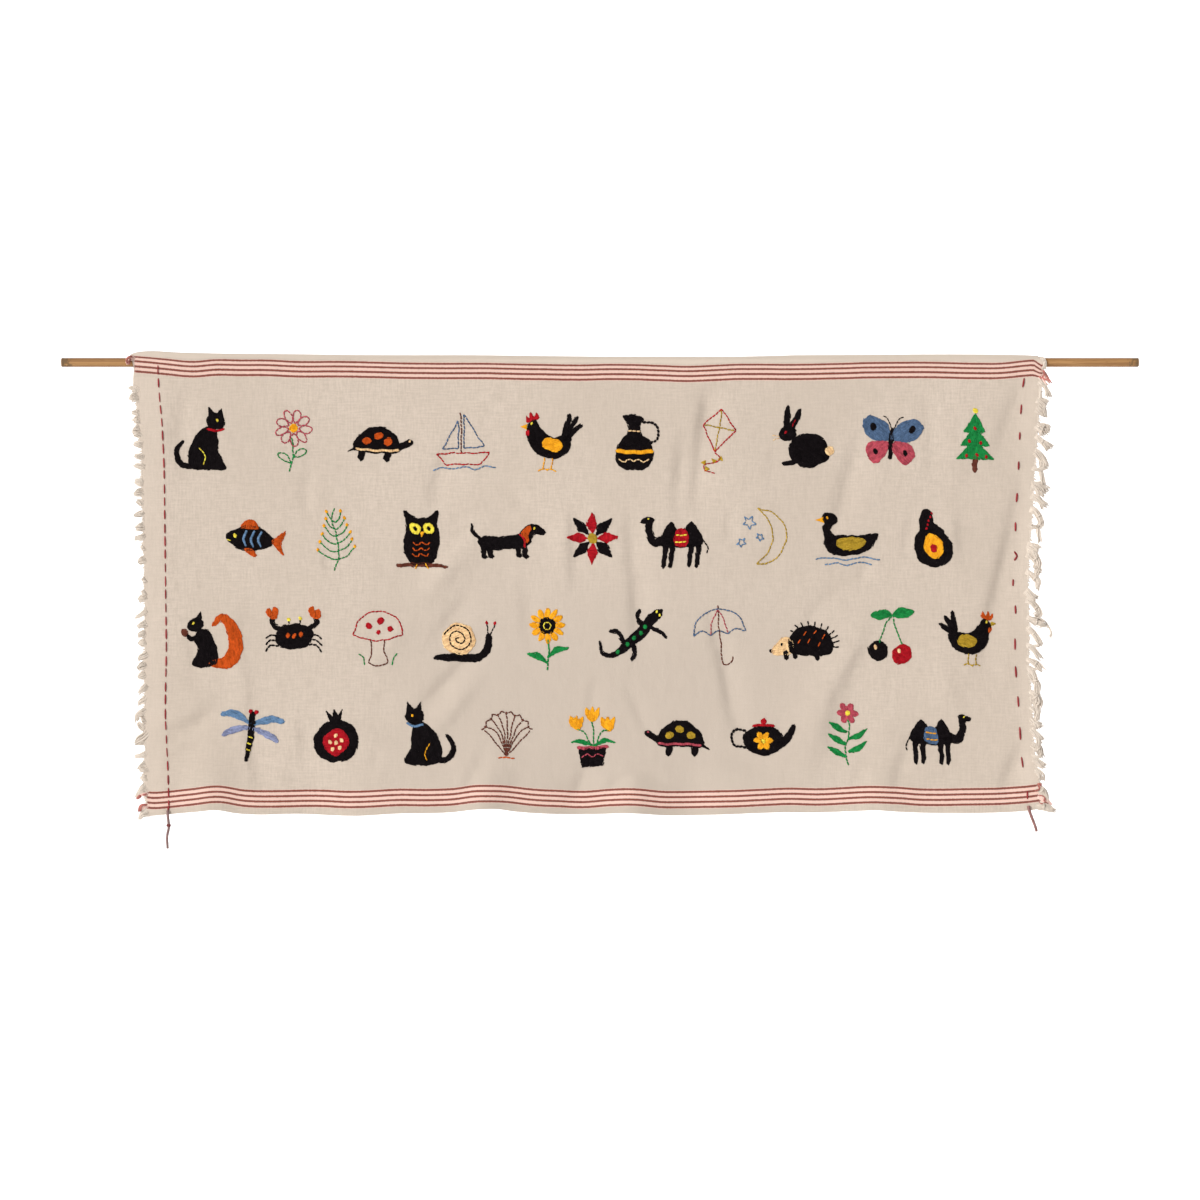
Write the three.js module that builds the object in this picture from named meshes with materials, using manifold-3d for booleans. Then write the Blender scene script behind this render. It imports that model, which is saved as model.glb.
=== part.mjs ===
// An embroidered cloth wall hanging on its wooden rod, in millimetres.
// +Z is up, +X runs along the rod and the decorated face looks along -Y.
// The origin is on the rod's axis, halfway along it.
// The hand-woven cloth has its warp across the hanging, so its warp ends hang as knotted
// fringe at the left and right. Its top edge is turned over the rod and sewn down behind,
// as one sleeve, and the rest hangs free with the soft creases of a light cotton.
import * as THREE from "three";
import { mergeVertices } from "three/addons/utils/BufferGeometryUtils.js";
import Module from "manifold-3d";

const wasm = await Module();
wasm.setup();

// Rod
const rodDiameter = 12;
const rodLength = 1436;
const rodChamfer = 0.6;
const rodSides = 28;

// Cloth
const clothThickness = 1.2;
const fitGap = 0.3; // between one piece and the next
const seamBelowRod = 20; // the sleeve's lower seam, on the lowest red stripe of the top band
const hemBelowRod = 27; // where the turned-over edge ends at the back
const seamSink = 0.4; // how far that edge is pressed into the front layer
const sleeveHeights = [-2, 0, 2, 3.6, 5, 6.3]; // rows round the rod
const lowestZ = -600; // the bottom edge before its unevenness
const highestZ = 10; // the top fold before its unevenness
const clothColumns = 52;
const clothRows = 22;
const foldsFadeIn = 95; // below the seam the creases grow to their full depth over this height

// Fringe
const stripWidth = 2.4;

// The hanging's outline. Each row is one place along an edge.
const topEdge = [
  { x: -619, z: 13.3 },
  { x: -587, z: 15 },
  { x: -533, z: 12.7 },
  { x: -427, z: 11.3 },
  { x: -300, z: 10 },
  { x: -160, z: 9.8 },
  { x: -80, z: 8.8 },
  { x: 0, z: 8.2 },
  { x: 140, z: 7.9 },
  { x: 240, z: 8.6 },
  { x: 290, z: 10 },
  { x: 560, z: 10 },
  { x: 583, z: 9 },
  { x: 594, z: 8.2 },
];
const bottomEdge = [
  { x: -603, z: -603 },
  { x: -560, z: -601 },
  { x: -533, z: -597 },
  { x: -507, z: -597 },
  { x: -453, z: -602 },
  { x: -320, z: -603 },
  { x: -200, z: -599 },
  { x: -160, z: -594 },
  { x: -120, z: -598 },
  { x: -40, z: -602 },
  { x: 40, z: -599 },
  { x: 80, z: -603 },
  { x: 120, z: -603 },
  { x: 240, z: -599 },
  { x: 360, z: -597 },
  { x: 440, z: -599 },
  { x: 560, z: -597 },
  { x: 588, z: -593 },
];
const leftEdge = [
  { z: 15, x: -619 },
  { z: -18, x: -617 },
  { z: -50, x: -614 },
  { z: -90, x: -611 },
  { z: -143, x: -609 },
  { z: -210, x: -607 },
  { z: -263, x: -604 },
  { z: -370, x: -604 },
  { z: -450, x: -605 },
  { z: -530, x: -605 },
  { z: -603, x: -603 },
];
const rightEdge = [
  { z: 15, x: 594 },
  { z: -18, x: 590 },
  { z: -50, x: 583 },
  { z: -82, x: 580 },
  { z: -157, x: 575 },
  { z: -210, x: 572 },
  { z: -370, x: 571 },
  { z: -437, x: 572 },
  { z: -490, x: 575 },
  { z: -517, x: 579 },
  { z: -570, x: 587 },
  { z: -603, x: 589 },
];

// Soft creases, from one end to the other. Half of each one's width, and how far it stands
// forward, or back where that is negative.
const creases = [
  { name: "under the rod, right of the middle", x1: 136, z1: -40, x2: 96, z2: -190, half: 17, forward: -4 },
  { name: "beside it", x1: 160, z1: -60, x2: 124, z2: -190, half: 20, forward: 3 },
  { name: "middle trough", x1: 40, z1: -190, x2: 43, z2: -372, half: 15, forward: -4.5 },
  { name: "middle ridge", x1: 0, z1: -157, x2: -3, z2: -317, half: 26, forward: 4 },
  { name: "left of the middle", x1: -44, z1: -170, x2: -48, z2: -275, half: 13, forward: -3 },
  { name: "slanting, upper", x1: -163, z1: -206, x2: -240, z2: -292, half: 15, forward: 3 },
  { name: "slanting, trough", x1: -145, z1: -305, x2: -256, z2: -450, half: 16, forward: -4 },
  { name: "slanting, ridge", x1: -128, z1: -340, x2: -222, z2: -474, half: 16, forward: 4 },
  { name: "slanting, lower", x1: -155, z1: -432, x2: -214, z2: -512, half: 16, forward: -3 },
  { name: "right edge trough", x1: 553, z1: -205, x2: 511, z2: -375, half: 18, forward: -5 },
  { name: "right edge ridge", x1: 530, z1: -150, x2: 478, z2: -330, half: 22, forward: 3 },
  { name: "right, long trough", x1: 360, z1: -356, x2: 282, z2: -512, half: 22, forward: -5 },
  { name: "right, long ridge", x1: 322, z1: -300, x2: 250, z2: -430, half: 22, forward: 3.5 },
  { name: "right of the middle, low", x1: 143, z1: -345, x2: 176, z2: -472, half: 14, forward: -3.5 },
  { name: "right, high trough", x1: 347, z1: -112, x2: 294, z2: -246, half: 16, forward: -3.5 },
  { name: "right, high ridge", x1: 382, z1: -104, x2: 330, z2: -226, half: 18, forward: 3 },
  { name: "left corner pull", x1: -525, z1: -464, x2: -584, z2: -488, half: 13, forward: -3 },
  { name: "right corner pull", x1: 549, z1: -512, x2: 534, z2: -572, half: 14, forward: -3.5 },
  { name: "hem wave 1", x1: -520, z1: -515, x2: -520, z2: -610, half: 26, forward: 8 },
  { name: "hem wave 2", x1: -394, z1: -500, x2: -380, z2: -610, half: 40, forward: -5 },
  { name: "hem wave 3", x1: -148, z1: -528, x2: -161, z2: -610, half: 28, forward: 9 },
  { name: "hem wave 4", x1: -20, z1: -540, x2: -34, z2: -610, half: 32, forward: -6 },
  { name: "hem wave 5", x1: 40, z1: -548, x2: 47, z2: -610, half: 22, forward: 6 },
  { name: "hem wave 6", x1: 120, z1: -528, x2: 118, z2: -610, half: 32, forward: -6 },
  { name: "hem wave 7", x1: 384, z1: -528, x2: 362, z2: -610, half: 40, forward: 7 },
];
const billow = { forward: 3.2, across: 430, down: 520 }; // the cloth's broad, slow bowing

// Fringe at each side. Lengths run outwards from the cloth's edge: to the knot, and from
// there to the cut tip, which droops by an angle in radians. At the right, two warp groups
// meet in each knot and leave a small gap between them.
const fringes = {
  left: { side: -1, locks: 38, bottom: -594, knotOut: 3.6, tip: 7, rise: 3, droop: 0.8, forked: false, seed: 3 },
  right: { side: 1, locks: 34, bottom: -588, knotOut: 10, tip: 8.5, rise: 9, droop: 0.6, forked: true, seed: 11 },
};
const lockJitter = 0.3; // how uneven the locks are, as a share of each size
const longLock = { fringe: "right", at: 14, tip: 20 }; // one warp end that was left long

// The loose ends of the two red running threads, below the hem. Each row is one point.
const threadDiameter = 1.5;
const threadAhead = 1.3; // how far in front of the cloth's face the threads' axes run
const threadSteps = 14;
const threadEnds = {
  left: [
    { x: -576, z: -597 },
    { x: -576, z: -606 },
    { x: -574.5, z: -614 },
    { x: -574, z: -621 },
    { x: -576.5, z: -633 },
    { x: -575, z: -648 },
  ],
  right: [
    { x: 568.5, z: -590 },
    { x: 570.5, z: -598 },
    { x: 574, z: -606 },
    { x: 578.5, z: -614 },
    { x: 581.5, z: -623 },
  ],
};

const colours = { cloth: 0xddccb9, wood: 0xb2854f, red: 0xa5434a };

const rodRadius = rodDiameter / 2;
const pocketRadius = rodRadius + fitGap;

// A smooth curve through two columns of a table.
function through(table, key, value) {
  const rows = [...table].sort((a, b) => a[key] - b[key]);
  const curve = new THREE.CubicInterpolant(rows.map((r) => r[key]), rows.map((r) => r[value]), 1);
  return (at) => curve.evaluate(at)[0];
}

const topAt = through(topEdge, "x", "z");
const bottomAt = through(bottomEdge, "x", "z");
const leftAt = through(leftEdge, "z", "x");
const rightAt = through(rightEdge, "z", "x");

// How far one crease lifts the cloth at a place.
function creaseAt(crease, place) {
  const start = new THREE.Vector2(crease.x1, crease.z1);
  const run = new THREE.Vector2(crease.x2, crease.z2).sub(start);
  const share = THREE.MathUtils.clamp(place.clone().sub(start).dot(run) / run.lengthSq(), 0, 1);
  const away = place.distanceTo(start.addScaledVector(run, share));
  const strength = Math.sin(share * (Math.PI / 2) + 0.35);
  return crease.forward * strength * Math.exp(-((away / crease.half) ** 2));
}

// How far the cloth stands forward at a place, from its creases and its broad bowing.
function forwardAt(x, z) {
  const fade = THREE.MathUtils.smoothstep(-seamBelowRod - z, 0, foldsFadeIn);
  const place = new THREE.Vector2(x, z);
  const across = Math.sin((x / billow.across) * Math.PI + 0.6);
  const bowing = billow.forward * across * Math.sin((-z / billow.down) * Math.PI);
  return fade * creases.reduce((sum, crease) => sum + creaseAt(crease, place), bowing);
}

// Half the space between the sleeve's front and back layers at a height: round the rod, and
// straight from there up to the fold and down to the seam.
function halfPocket(z, fold) {
  const inner = fold - clothThickness;
  const upper = pocketRadius ** 2 / inner;
  const lower = -(pocketRadius ** 2) / seamBelowRod;
  const roundAt = (h) => Math.sqrt(Math.max(0, pocketRadius ** 2 - h * h));
  if (z >= inner || z <= -seamBelowRod) return 0;
  if (z > upper) return (roundAt(upper) * (inner - z)) / (inner - upper);
  if (z < lower) return (roundAt(lower) * (z + seamBelowRod)) / (lower + seamBelowRod);
  return roundAt(z);
}

// The heights of the cloth's rows, from the bottom edge up to the sleeve's seam.
function rowHeight(i) {
  if (i > clothRows) return -seamBelowRod;
  return THREE.MathUtils.lerp(lowestZ, -hemBelowRod, i / clothRows);
}

// The cloth's section across the rod, as stations along it. Each has its inner face, next to
// the rod, and its outer face, as a distance from the rod's middle plane and a height.
const foldTop = { inner: [0, highestZ - clothThickness], outer: [0, highestZ] };

function sleeveStation(z) {
  const half = halfPocket(z, highestZ);
  return { inner: [half, z], outer: [half + clothThickness, z] };
}

function frontStations() {
  const stations = [];
  for (let i = 0; i <= clothRows + 1; i++) {
    stations.push({ inner: [0, rowHeight(i)], outer: [clothThickness, rowHeight(i)] });
  }
  return [...stations, ...sleeveHeights.map(sleeveStation), foldTop];
}

// Behind the rod the turned-over edge is sewn down, so its end is sunk in the front layer.
function backStations() {
  const hem = { inner: [-seamSink, -hemBelowRod], outer: [clothThickness * 0.6, -hemBelowRod] };
  const seam = { inner: [-seamSink, -seamBelowRod], outer: [clothThickness, -seamBelowRod] };
  return [hem, seam, ...sleeveHeights.map(sleeveStation), foldTop];
}

// Where a point of the section lands: across is 0 at the left edge and 1 at the right one.
function placeOnCloth(across, y, z) {
  const flatX = THREE.MathUtils.lerp(leftAt(z), rightAt(z), across);
  const fold = topAt(flatX);
  if (z > 0) {
    const height = (z * fold) / highestZ;
    const wider = halfPocket(height, fold) - halfPocket(z, highestZ);
    return new THREE.Vector3(flatX, y + Math.sign(y) * wider, height);
  }
  const hem = bottomAt(flatX);
  const below = Math.max(0, -hemBelowRod - z) / (-hemBelowRod - lowestZ);
  const height = z + (hem - lowestZ) * below;
  return new THREE.Vector3(flatX, y - forwardAt(flatX, height), height);
}

function warped(geometry, place) {
  const position = geometry.getAttribute("position");
  const point = new THREE.Vector3();
  for (let i = 0; i < position.count; i++) {
    point.copy(place(position.getX(i), position.getY(i), position.getZ(i)));
    position.setXYZ(i, point.x, point.y, point.z);
  }
  return geometry;
}

function bare(geometry) {
  geometry.deleteAttribute("normal");
  geometry.deleteAttribute("uv");
  return mergeVertices(geometry, 1e-3);
}

// One layer of the cloth, on the front or the back side of the rod.
function clothLayer(stations, side) {
  const rows = stations.length - 1;
  const made = new THREE.BoxGeometry(1, 1, 1, clothColumns, 1, rows);
  return warped(made, (x, y, z) => {
    const station = stations[Math.round((z + 0.5) * rows)];
    const [out, height] = side * y > 0 ? station.outer : station.inner;
    return placeOnCloth(x + 0.5, side * out, height);
  });
}

function clothGeometry() {
  const front = solid(clothLayer(frontStations(), -1));
  return geometryOf(front.add(solid(clothLayer(backStations(), 1))));
}

function rodGeometry() {
  const half = rodLength / 2;
  const profile = [
    new THREE.Vector2(0, -half),
    new THREE.Vector2(rodRadius - rodChamfer, -half),
    new THREE.Vector2(rodRadius, -half + rodChamfer),
    new THREE.Vector2(rodRadius, half - rodChamfer),
    new THREE.Vector2(rodRadius - rodChamfer, half),
    new THREE.Vector2(0, half),
  ];
  return new THREE.LatheGeometry(profile, rodSides);
}

function solid(geometry) {
  const merged = bare(geometry);
  return new wasm.Manifold(
    new wasm.Mesh({
      numProp: 3,
      vertProperties: merged.getAttribute("position").array,
      triVerts: new Uint32Array(merged.index.array),
    }),
  );
}

function geometryOf(made) {
  const mesh = made.getMesh();
  const geometry = new THREE.BufferGeometry();
  const points = new Float32Array(mesh.numVert * 3);
  for (let i = 0; i < mesh.numVert; i++) {
    points.set(mesh.vertProperties.subarray(i * mesh.numProp, i * mesh.numProp + 3), i * 3);
  }
  geometry.setAttribute("position", new THREE.BufferAttribute(points, 3));
  geometry.setIndex(new THREE.BufferAttribute(mesh.triVerts, 1));
  return geometry;
}

// A yarn of changing thickness along a curve, closed at both ends.
function yarn(points, radii, sides) {
  const curve = new THREE.CatmullRomCurve3(points);
  const profile = [new THREE.Vector2(0, 0)];
  radii.forEach((r, i) => profile.push(new THREE.Vector2(r, i / (radii.length - 1))));
  profile.push(new THREE.Vector2(0, 1));
  const made = new THREE.LatheGeometry(profile, sides);
  return warped(made, (x, share, z) => {
    const ahead = curve.getTangentAt(share);
    const aside = new THREE.Vector3(0, 1, 0).cross(ahead).normalize();
    const out = aside.clone().cross(ahead);
    return curve.getPointAt(share).addScaledVector(aside, x).addScaledVector(out, z);
  });
}

// A made-up but fixed unevenness from -1 to 1 for each lock.
function uneven(seed, i) {
  const wave = Math.sin(seed * 12.9898 + i * 78.233) * 43758.5453;
  return 2 * (wave - Math.floor(wave)) - 1;
}

// A place on a side edge of the cloth, midway through its thickness.
function edgePoint(side, z) {
  return placeOnCloth(side < 0 ? 0 : 1, -clothThickness / 2, z);
}

// The narrow strip along a side edge that the locks are rooted in.
function fringeStrip(f) {
  const made = new THREE.BoxGeometry(1, 1, 1, 1, 1, clothRows + 1);
  return warped(made, (x, y, z) => {
    const row = Math.round((z + 0.5) * (clothRows + 1));
    const point = edgePoint(f.side, rowHeight(row));
    point.x += f.side * (fitGap + stripWidth / 2) + x * stripWidth;
    point.y += y * clothThickness;
    return point;
  });
}

// One lock: its root in the strip, its knot, and the cut ends below.
function fringeLock(f, key, i) {
  const share = (i + 0.5 + 0.28 * uneven(f.seed, i)) / f.locks;
  const z = THREE.MathUtils.lerp(-seamBelowRod - 6, f.bottom + 8, share);
  const size = (n) => 1 + lockJitter * uneven(f.seed + n, i);
  const root = fitGap + stripWidth / 2;
  const at = (out, dy, height) => {
    const edge = edgePoint(f.side, height);
    return edge.setZ(height).add(new THREE.Vector3(f.side * out, dy, 0));
  };
  const rise = f.rise * size(1);
  const knotOut = root + f.knotOut * size(2);
  const isLong = key === longLock.fringe && i === longLock.at;
  const tip = isLong ? longLock.tip : f.tip * size(3);
  const lean = 1.6 * uneven(f.seed + 4, i);
  const droop = f.droop * size(5);
  const knot = at(knotOut, lean, z);
  const rootZ = Math.min(-seamBelowRod - 1.5, z + rise);
  const end = at(knotOut + tip * Math.cos(droop), lean * 1.4, z - tip * Math.sin(droop));
  const upper = solid(yarn([at(root, 0, rootZ), knot, end], [0.8, 0.85, 1.8, 1.2, 1.6], 4));
  if (!f.forked) return upper;
  return upper.add(solid(yarn([at(root, 0, z - rise * 0.2), knot], [0.8, 0.8], 3)));
}

function fringeGeometry(key) {
  const f = fringes[key];
  let made = solid(fringeStrip(f));
  for (let i = 0; i < f.locks; i++) made = made.add(fringeLock(f, key, i));
  return geometryOf(made);
}

function threadGeometry(points) {
  const yAt = ({ x, z }) => -clothThickness - forwardAt(x, z) - threadAhead;
  const curve = new THREE.CatmullRomCurve3(points.map((p) => new THREE.Vector3(p.x, yAt(p), p.z)));
  const section = new THREE.Shape();
  section.absarc(0, 0, threadDiameter / 2, 0, 2 * Math.PI, false);
  return new THREE.ExtrudeGeometry(section, {
    steps: threadSteps,
    curveSegments: 4,
    extrudePath: curve,
    bevelEnabled: false,
  });
}

function part(name, geometry, color, roughness) {
  const material = new THREE.MeshStandardMaterial({ color, roughness, metalness: 0 });
  const mesh = new THREE.Mesh(geometry, material);
  mesh.name = name;
  return mesh;
}

const hanging = new THREE.Group();

const rod = part("rod", rodGeometry(), colours.wood, 0.6);
rod.rotation.z = -Math.PI / 2;
hanging.add(rod);

hanging.add(part("cloth", clothGeometry(), colours.cloth, 0.95));
for (const key of Object.keys(fringes)) {
  hanging.add(part("fringe_" + key, fringeGeometry(key), colours.cloth, 0.95));
}
for (const [key, points] of Object.entries(threadEnds)) {
  hanging.add(part("thread_end_" + key, threadGeometry(points), colours.red, 0.9));
}

export default hanging;
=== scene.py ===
"""A hand-woven cotton hanging with stitched motifs, on its wooden rod.

The cloth hangs by a sleeve along its top edge. Its warp runs across, so that the warp ends are
knotted into fringe at the left and right. All the embroidery is sewn stitch by stitch on the
cloth's own folds.
"""

import math

import bmesh
import bpy
import numpy as np
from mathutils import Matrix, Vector


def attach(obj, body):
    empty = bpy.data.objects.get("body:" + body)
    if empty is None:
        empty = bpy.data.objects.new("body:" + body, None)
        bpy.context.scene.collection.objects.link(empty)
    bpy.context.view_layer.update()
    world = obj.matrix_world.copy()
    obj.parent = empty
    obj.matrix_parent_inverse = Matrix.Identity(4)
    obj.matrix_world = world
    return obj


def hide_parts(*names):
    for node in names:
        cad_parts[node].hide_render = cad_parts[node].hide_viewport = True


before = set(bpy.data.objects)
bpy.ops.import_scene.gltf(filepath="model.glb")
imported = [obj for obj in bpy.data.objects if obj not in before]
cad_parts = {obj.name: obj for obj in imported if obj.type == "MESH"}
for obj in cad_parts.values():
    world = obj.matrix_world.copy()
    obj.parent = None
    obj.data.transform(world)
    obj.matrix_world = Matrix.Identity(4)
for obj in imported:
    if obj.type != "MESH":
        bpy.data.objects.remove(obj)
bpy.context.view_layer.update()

bl_info = {
    "name": "Embroidered wall hanging",
    "version": (1, 0, 0),
    "blender": (4, 5, 0),
    "location": "View3D > Sidebar > Hanging",
    "description": "Builds a fringed, embroidered cloth hanging on a wooden rod",
    "category": "Add Mesh",
}

MM = 0.001

# Sizes of the hanging, in millimetres
ROD_RADIUS = 6.0
FIT_GAP = 0.3
CLOTH = 1.2
SEAM_BELOW_ROD = 20.0
HEM_BELOW_ROD = 27.0
LOWEST = -600.0
HIGHEST = 10.0
FOLDS_FADE_IN = 95.0
CREASES_FADE_IN = 30.0
BILLOW = {"forward": 3.2, "across": 430.0, "down": 520.0, "start": 0.6}
POCKET_RADIUS = ROD_RADIUS + FIT_GAP

# How a crease's depth runs: where its deepest line lies, as a share of its steep side, how its
# depth starts and swells along it, how softly it ends, and the share of all depths that is used.
# A wave of the hem starts with a part of its depth too.
CREASE_SHIFT = 0.7
CREASE_START = 0.15
CREASE_SWELL = 0.7
CREASE_END = 0.6
CREASE_DEPTH = 0.9
HEM_WAVE_START = 0.35

# Rows of faces round the rod: from one height to another, and how many. The cloth's thickness is
# a share of the solid's.
SLEEVE_ROWS = ((-24, -2, 12), (-0.6, 6.2, 8), (7.2, 9.4, 3))
PRESSED_THIN = 0.92

# The outline of the cloth as it hangs: pairs of x and z, in millimetres
TOP_EDGE = (
    (-627, 10.5), (-620, 13.2), (-611, 14.8), (-591, 15.2), (-565, 13.6), (-538, 12.8),
    (-485, 11.8), (-431, 11.4), (-300, 10), (-160, 9.8),
    (-80, 8.8), (0, 8.0), (80, 7.8), (170, 7.8), (225, 8.8), (260, 9.8), (290, 10), (560, 10),
    (583, 9), (594, 8.2),
)
BOTTOM_EDGE = (
    (-603, -605), (-591, -604), (-565, -601.5), (-538, -599), (-511, -596.6), (-485, -601),
    (-458, -602.8), (-405, -602), (-325, -604.5), (-271, -601.5), (-200, -599.8),
    (-165, -595.7), (-138, -595.2), (-111, -599), (-58, -602.3), (-13, -602.5), (40, -601),
    (93, -604.3), (150, -603.3), (240, -600), (289, -600), (342, -597.8), (369, -596.8),
    (395, -598.7), (440, -600.5), (560, -598.5), (588, -595),
)
LEFT_EDGE = (
    (-627, 15), (-626, 8), (-622.5, 0), (-621.5, -8), (-622.5, -24), (-620.5, -44), (-617.5, -60),
    (-616.5, -80), (-614, -103), (-611, -118), (-611.5, -140), (-611.5, -165), (-610.5, -190),
    (-609, -212), (-609.5, -240), (-608, -258), (-607.5, -285), (-608, -305), (-606.5, -328),
    (-607.5, -350), (-608, -370), (-606.5, -385), (-609, -405), (-607, -430), (-607.5, -458),
    (-608, -485), (-606, -515), (-608.5, -545), (-607.5, -562), (-607, -575), (-605, -587),
    (-606, -603),
)
RIGHT_EDGE = (
    (579, 15), (584.5, 9), (590, 3), (591.5, -3), (590, -11), (588, -22), (586.5, -45), (585, -75),
    (582, -120), (579.5, -150), (578, -190), (576, -215), (574, -245), (572, -280), (571.5, -300),
    (572, -330), (573, -360), (572, -390), (573, -415), (575, -440), (576.5, -470),
    (579, -515), (582, -540), (586, -562), (587, -580), (588, -603),
)

# Creases: the line of each one's steep side, from x1, z1 to x2, z2, then half the width of its
# steep and of its gentle side, and how far forward it stands
CREASES = (
    (138, -38, 130, -100, 8, 22, -4.5), (130, -95, 121, -190, 8, 24, -4),
    (106, -108, 98, -168, 8, 16, -3.2), (98, -165, 101, -250, 8, 14, -1.6),
    (35, -212, 36, -270, 8, 18, -2.6), (40, -275, 45, -378, 8, 24, -4.2),
    (-41, -203, -39, -288, 8, 20, 2), (-41, -203, -39, -288, 8, 18, -1.8),
    (144, -346, 160, -408, 7, 16, -3), (160, -402, 171, -470, 7, 18, -3.8),
    (172, -468, 187, -505, 7, 12, -1.4), (352, -372, 318, -432, 9, 30, 4.5),
    (316, -430, 290, -512, 13, 30, 4), (330, -440, 300, -520, 12, 34, -2.2),
    (552, -175, 540, -235, 9, 20, -2.5), (541, -232, 520, -320, 9, 26, -5),
    (520, -318, 504, -398, 11, 26, -4.2), (335, -112, 306, -222, 11, 20, -3.4),
    (474, -205, 478, -255, 8, 26, 2.8), (553, -518, 532, -568, 8, 16, -3.8),
    (404, -512, 388, -562, 8, 14, -3), (-197, -98, -222, -150, 9, 18, -2),
    (-222, -145, -227, -188, 9, 18, -2.4), (-242, -300, -172, -222, 13, 24, 3.4),
    (-188, -270, -215, -305, 8, 14, 1.8), (-186, -226, -214, -256, 8, 12, -1.6),
    (-183, -312, -222, -360, 8, 22, -3.2), (-160, -362, -190, -402, 9, 16, -2.2),
    (-188, -400, -238, -452, 8, 18, -4.2), (-166, -436, -206, -486, 10, 18, 3.4),
    (-206, -484, -240, -512, 8, 14, 1.8), (-522, -460, -545, -482, 8, 14, -2.2),
    (-540, -480, -582, -490, 8, 14, -2.6), (-524, -462, -580, -489, 8, 18, 2.4),
    (-470, -508, -457, -566, 8, 24, -3), (-292, -516, -355, -494, 10, 22, 3),
    (-160, -520, -186, -572, 9, 18, -3.2),
    # Lesser ones
    (554, -28, 522, -126, 10, 20, -2.6), (500, -100, 480, -165, 8, 14, -1.3),
    (430, -55, 438, -142, 9, 14, -1.6), (410, -208, 403, -252, 6, 12, -1.6),
    (352, -258, 345, -290, 6, 10, -1.8), (340, -282, 285, -322, 10, 14, -1.8),
    (288, -318, 268, -352, 8, 12, -1.4), (242, -537, 172, -518, 9, 16, -2.2),
    (88, -552, 55, -538, 8, 12, -1.6), (32, -545, 8, -566, 7, 12, -2.4),
    (-22, -540, -38, -572, 7, 12, -2.6), (-12, -430, -20, -492, 6, 12, -1.5),
    (34, -436, 58, -495, 6, 12, -1.6), (222, -245, 217, -285, 9, 14, -1.3),
    (226, -105, 223, -155, 9, 14, -1), (169, -205, 167, -235, 5, 10, -1.4),
    (468, -412, 482, -456, 14, 24, 2.4), (436, -496, 400, -482, 8, 14, -1.6),
    (452, -498, 438, -512, 5, 8, -1.4), (348, -536, 332, -562, 7, 12, -1.8),
    (-312, -402, -268, -348, 9, 16, 2.4), (-285, -438, -306, -455, 8, 12, -1.4),
    (-530, -508, -572, -521, 6, 10, -2), (-478, -325, -482, -385, 8, 18, 1.5),
    (-474, -385, -470, -450, 9, 18, 1.5), (-468, -440, -472, -505, 10, 22, 1.9),
    (-402, -482, -400, -512, 6, 24, 2.2), (-296, -520, -306, -528, 5, 8, -1.6),
    (-560, -35, -568, -85, 12, 16, -2), (-568, -80, -560, -150, 12, 18, -1.8),
    (-537, -100, -526, -150, 5, 8, -0.8), (-386, -128, -402, -170, 8, 12, -1),
    (-398, -165, -397, -200, 6, 10, -1.2), (-373, -240, -366, -285, 7, 12, -1.2),
    (-106, -298, -99, -368, 9, 16, -1.8), (-92, -184, -118, -172, 5, 8, -1.6),
    (-235, -245, -258, -272, 12, 16, -1.4), (-80, -412, -98, -404, 8, 10, -1),
    (-547, -362, -546, -430, 8, 12, -1.5),
)

# Waves of the hem: x1, z1, x2, z2, half width, how far forward
HEM_WAVES = (
    (-520, -525, -520, -610, 30, 6.5),
    (-394, -510, -380, -610, 42, -4.5),
    (-148, -535, -161, -610, 30, 8),
    (-20, -545, -34, -610, 34, -5),
    (40, -552, 47, -610, 24, 5),
    (120, -535, 118, -610, 34, -5),
    (384, -535, 362, -610, 42, 6),
)

# Woven stripes, four dark lines to a border. The heights are those of the third line of the top
# border and of the lowest line of the bottom one.
STRIPES_FROM_FOLD = 10.3
STRIPES_FROM_HEM = 10.9
STRIPE_PITCH_TOP = 6.6
STRIPE_PITCH_BOTTOM = 6.8
STRIPE_COUNT = 4
STRIPE_WIDTH = 2.9
TOP_STRIPES = (
    (-622, -5), (-600, -7), (-578, -9), (-543, -12), (-512, -9.8), (-474, -10.3), (-440, -10.4),
    (-405, -12), (-335, -12), (-300, -13), (-231, -14.3), (-160, -14.4), (-93, -15.5),
    (-23, -16.4), (11, -15.6), (46, -15.9), (81, -17.2), (115, -18.3), (150, -16.9),
    (185, -15.5), (254, -15.7), (323, -14.4), (358, -13.5), (427, -12.9), (462, -13.5),
    (505, -14.4), (535, -14.2), (566, -11), (578, -10.2), (594, -10.5),
)
LOW_STRIPES = (
    (-606, -593), (-595, -594), (-578, -593), (-543, -589.2), (-509, -585.5), (-474, -591),
    (-370, -591.5), (-335, -593), (-266, -590), (-231, -590.3), (-197, -589.2), (-162, -584.7),
    (-127, -585.5), (-93, -589.6), (-58, -591.6), (-23, -593.2), (11, -590.5), (46, -589.4),
    (81, -592.8), (115, -593.2), (185, -591.6), (254, -588.6), (289, -589.5), (323, -588),
    (358, -586), (393, -587.2), (427, -589.6), (497, -589.2), (531, -588.4), (566, -586.2),
    (588, -583.5),
)

# The top lines turn down at the right: between which x, by how much, and at which heights that
# fades. The first line looks closer to the second by a share of its way over the rod.
TURN_DOWN = (576, 589)
TURN_DOWN_BY = 6.5
TURN_DOWN_FADES = (-25.0, -9.5)
OVER_THE_ROD = 0.18

# How softly the lines and their pale band end, in millimetres. No stripes are woven at the back.
LINE_SOFTNESS = 0.45
BAND_FADES = (0.3, 0.9)
RAGGED_EDGE = 0.9
NO_STRIPES = 1000.0

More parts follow.
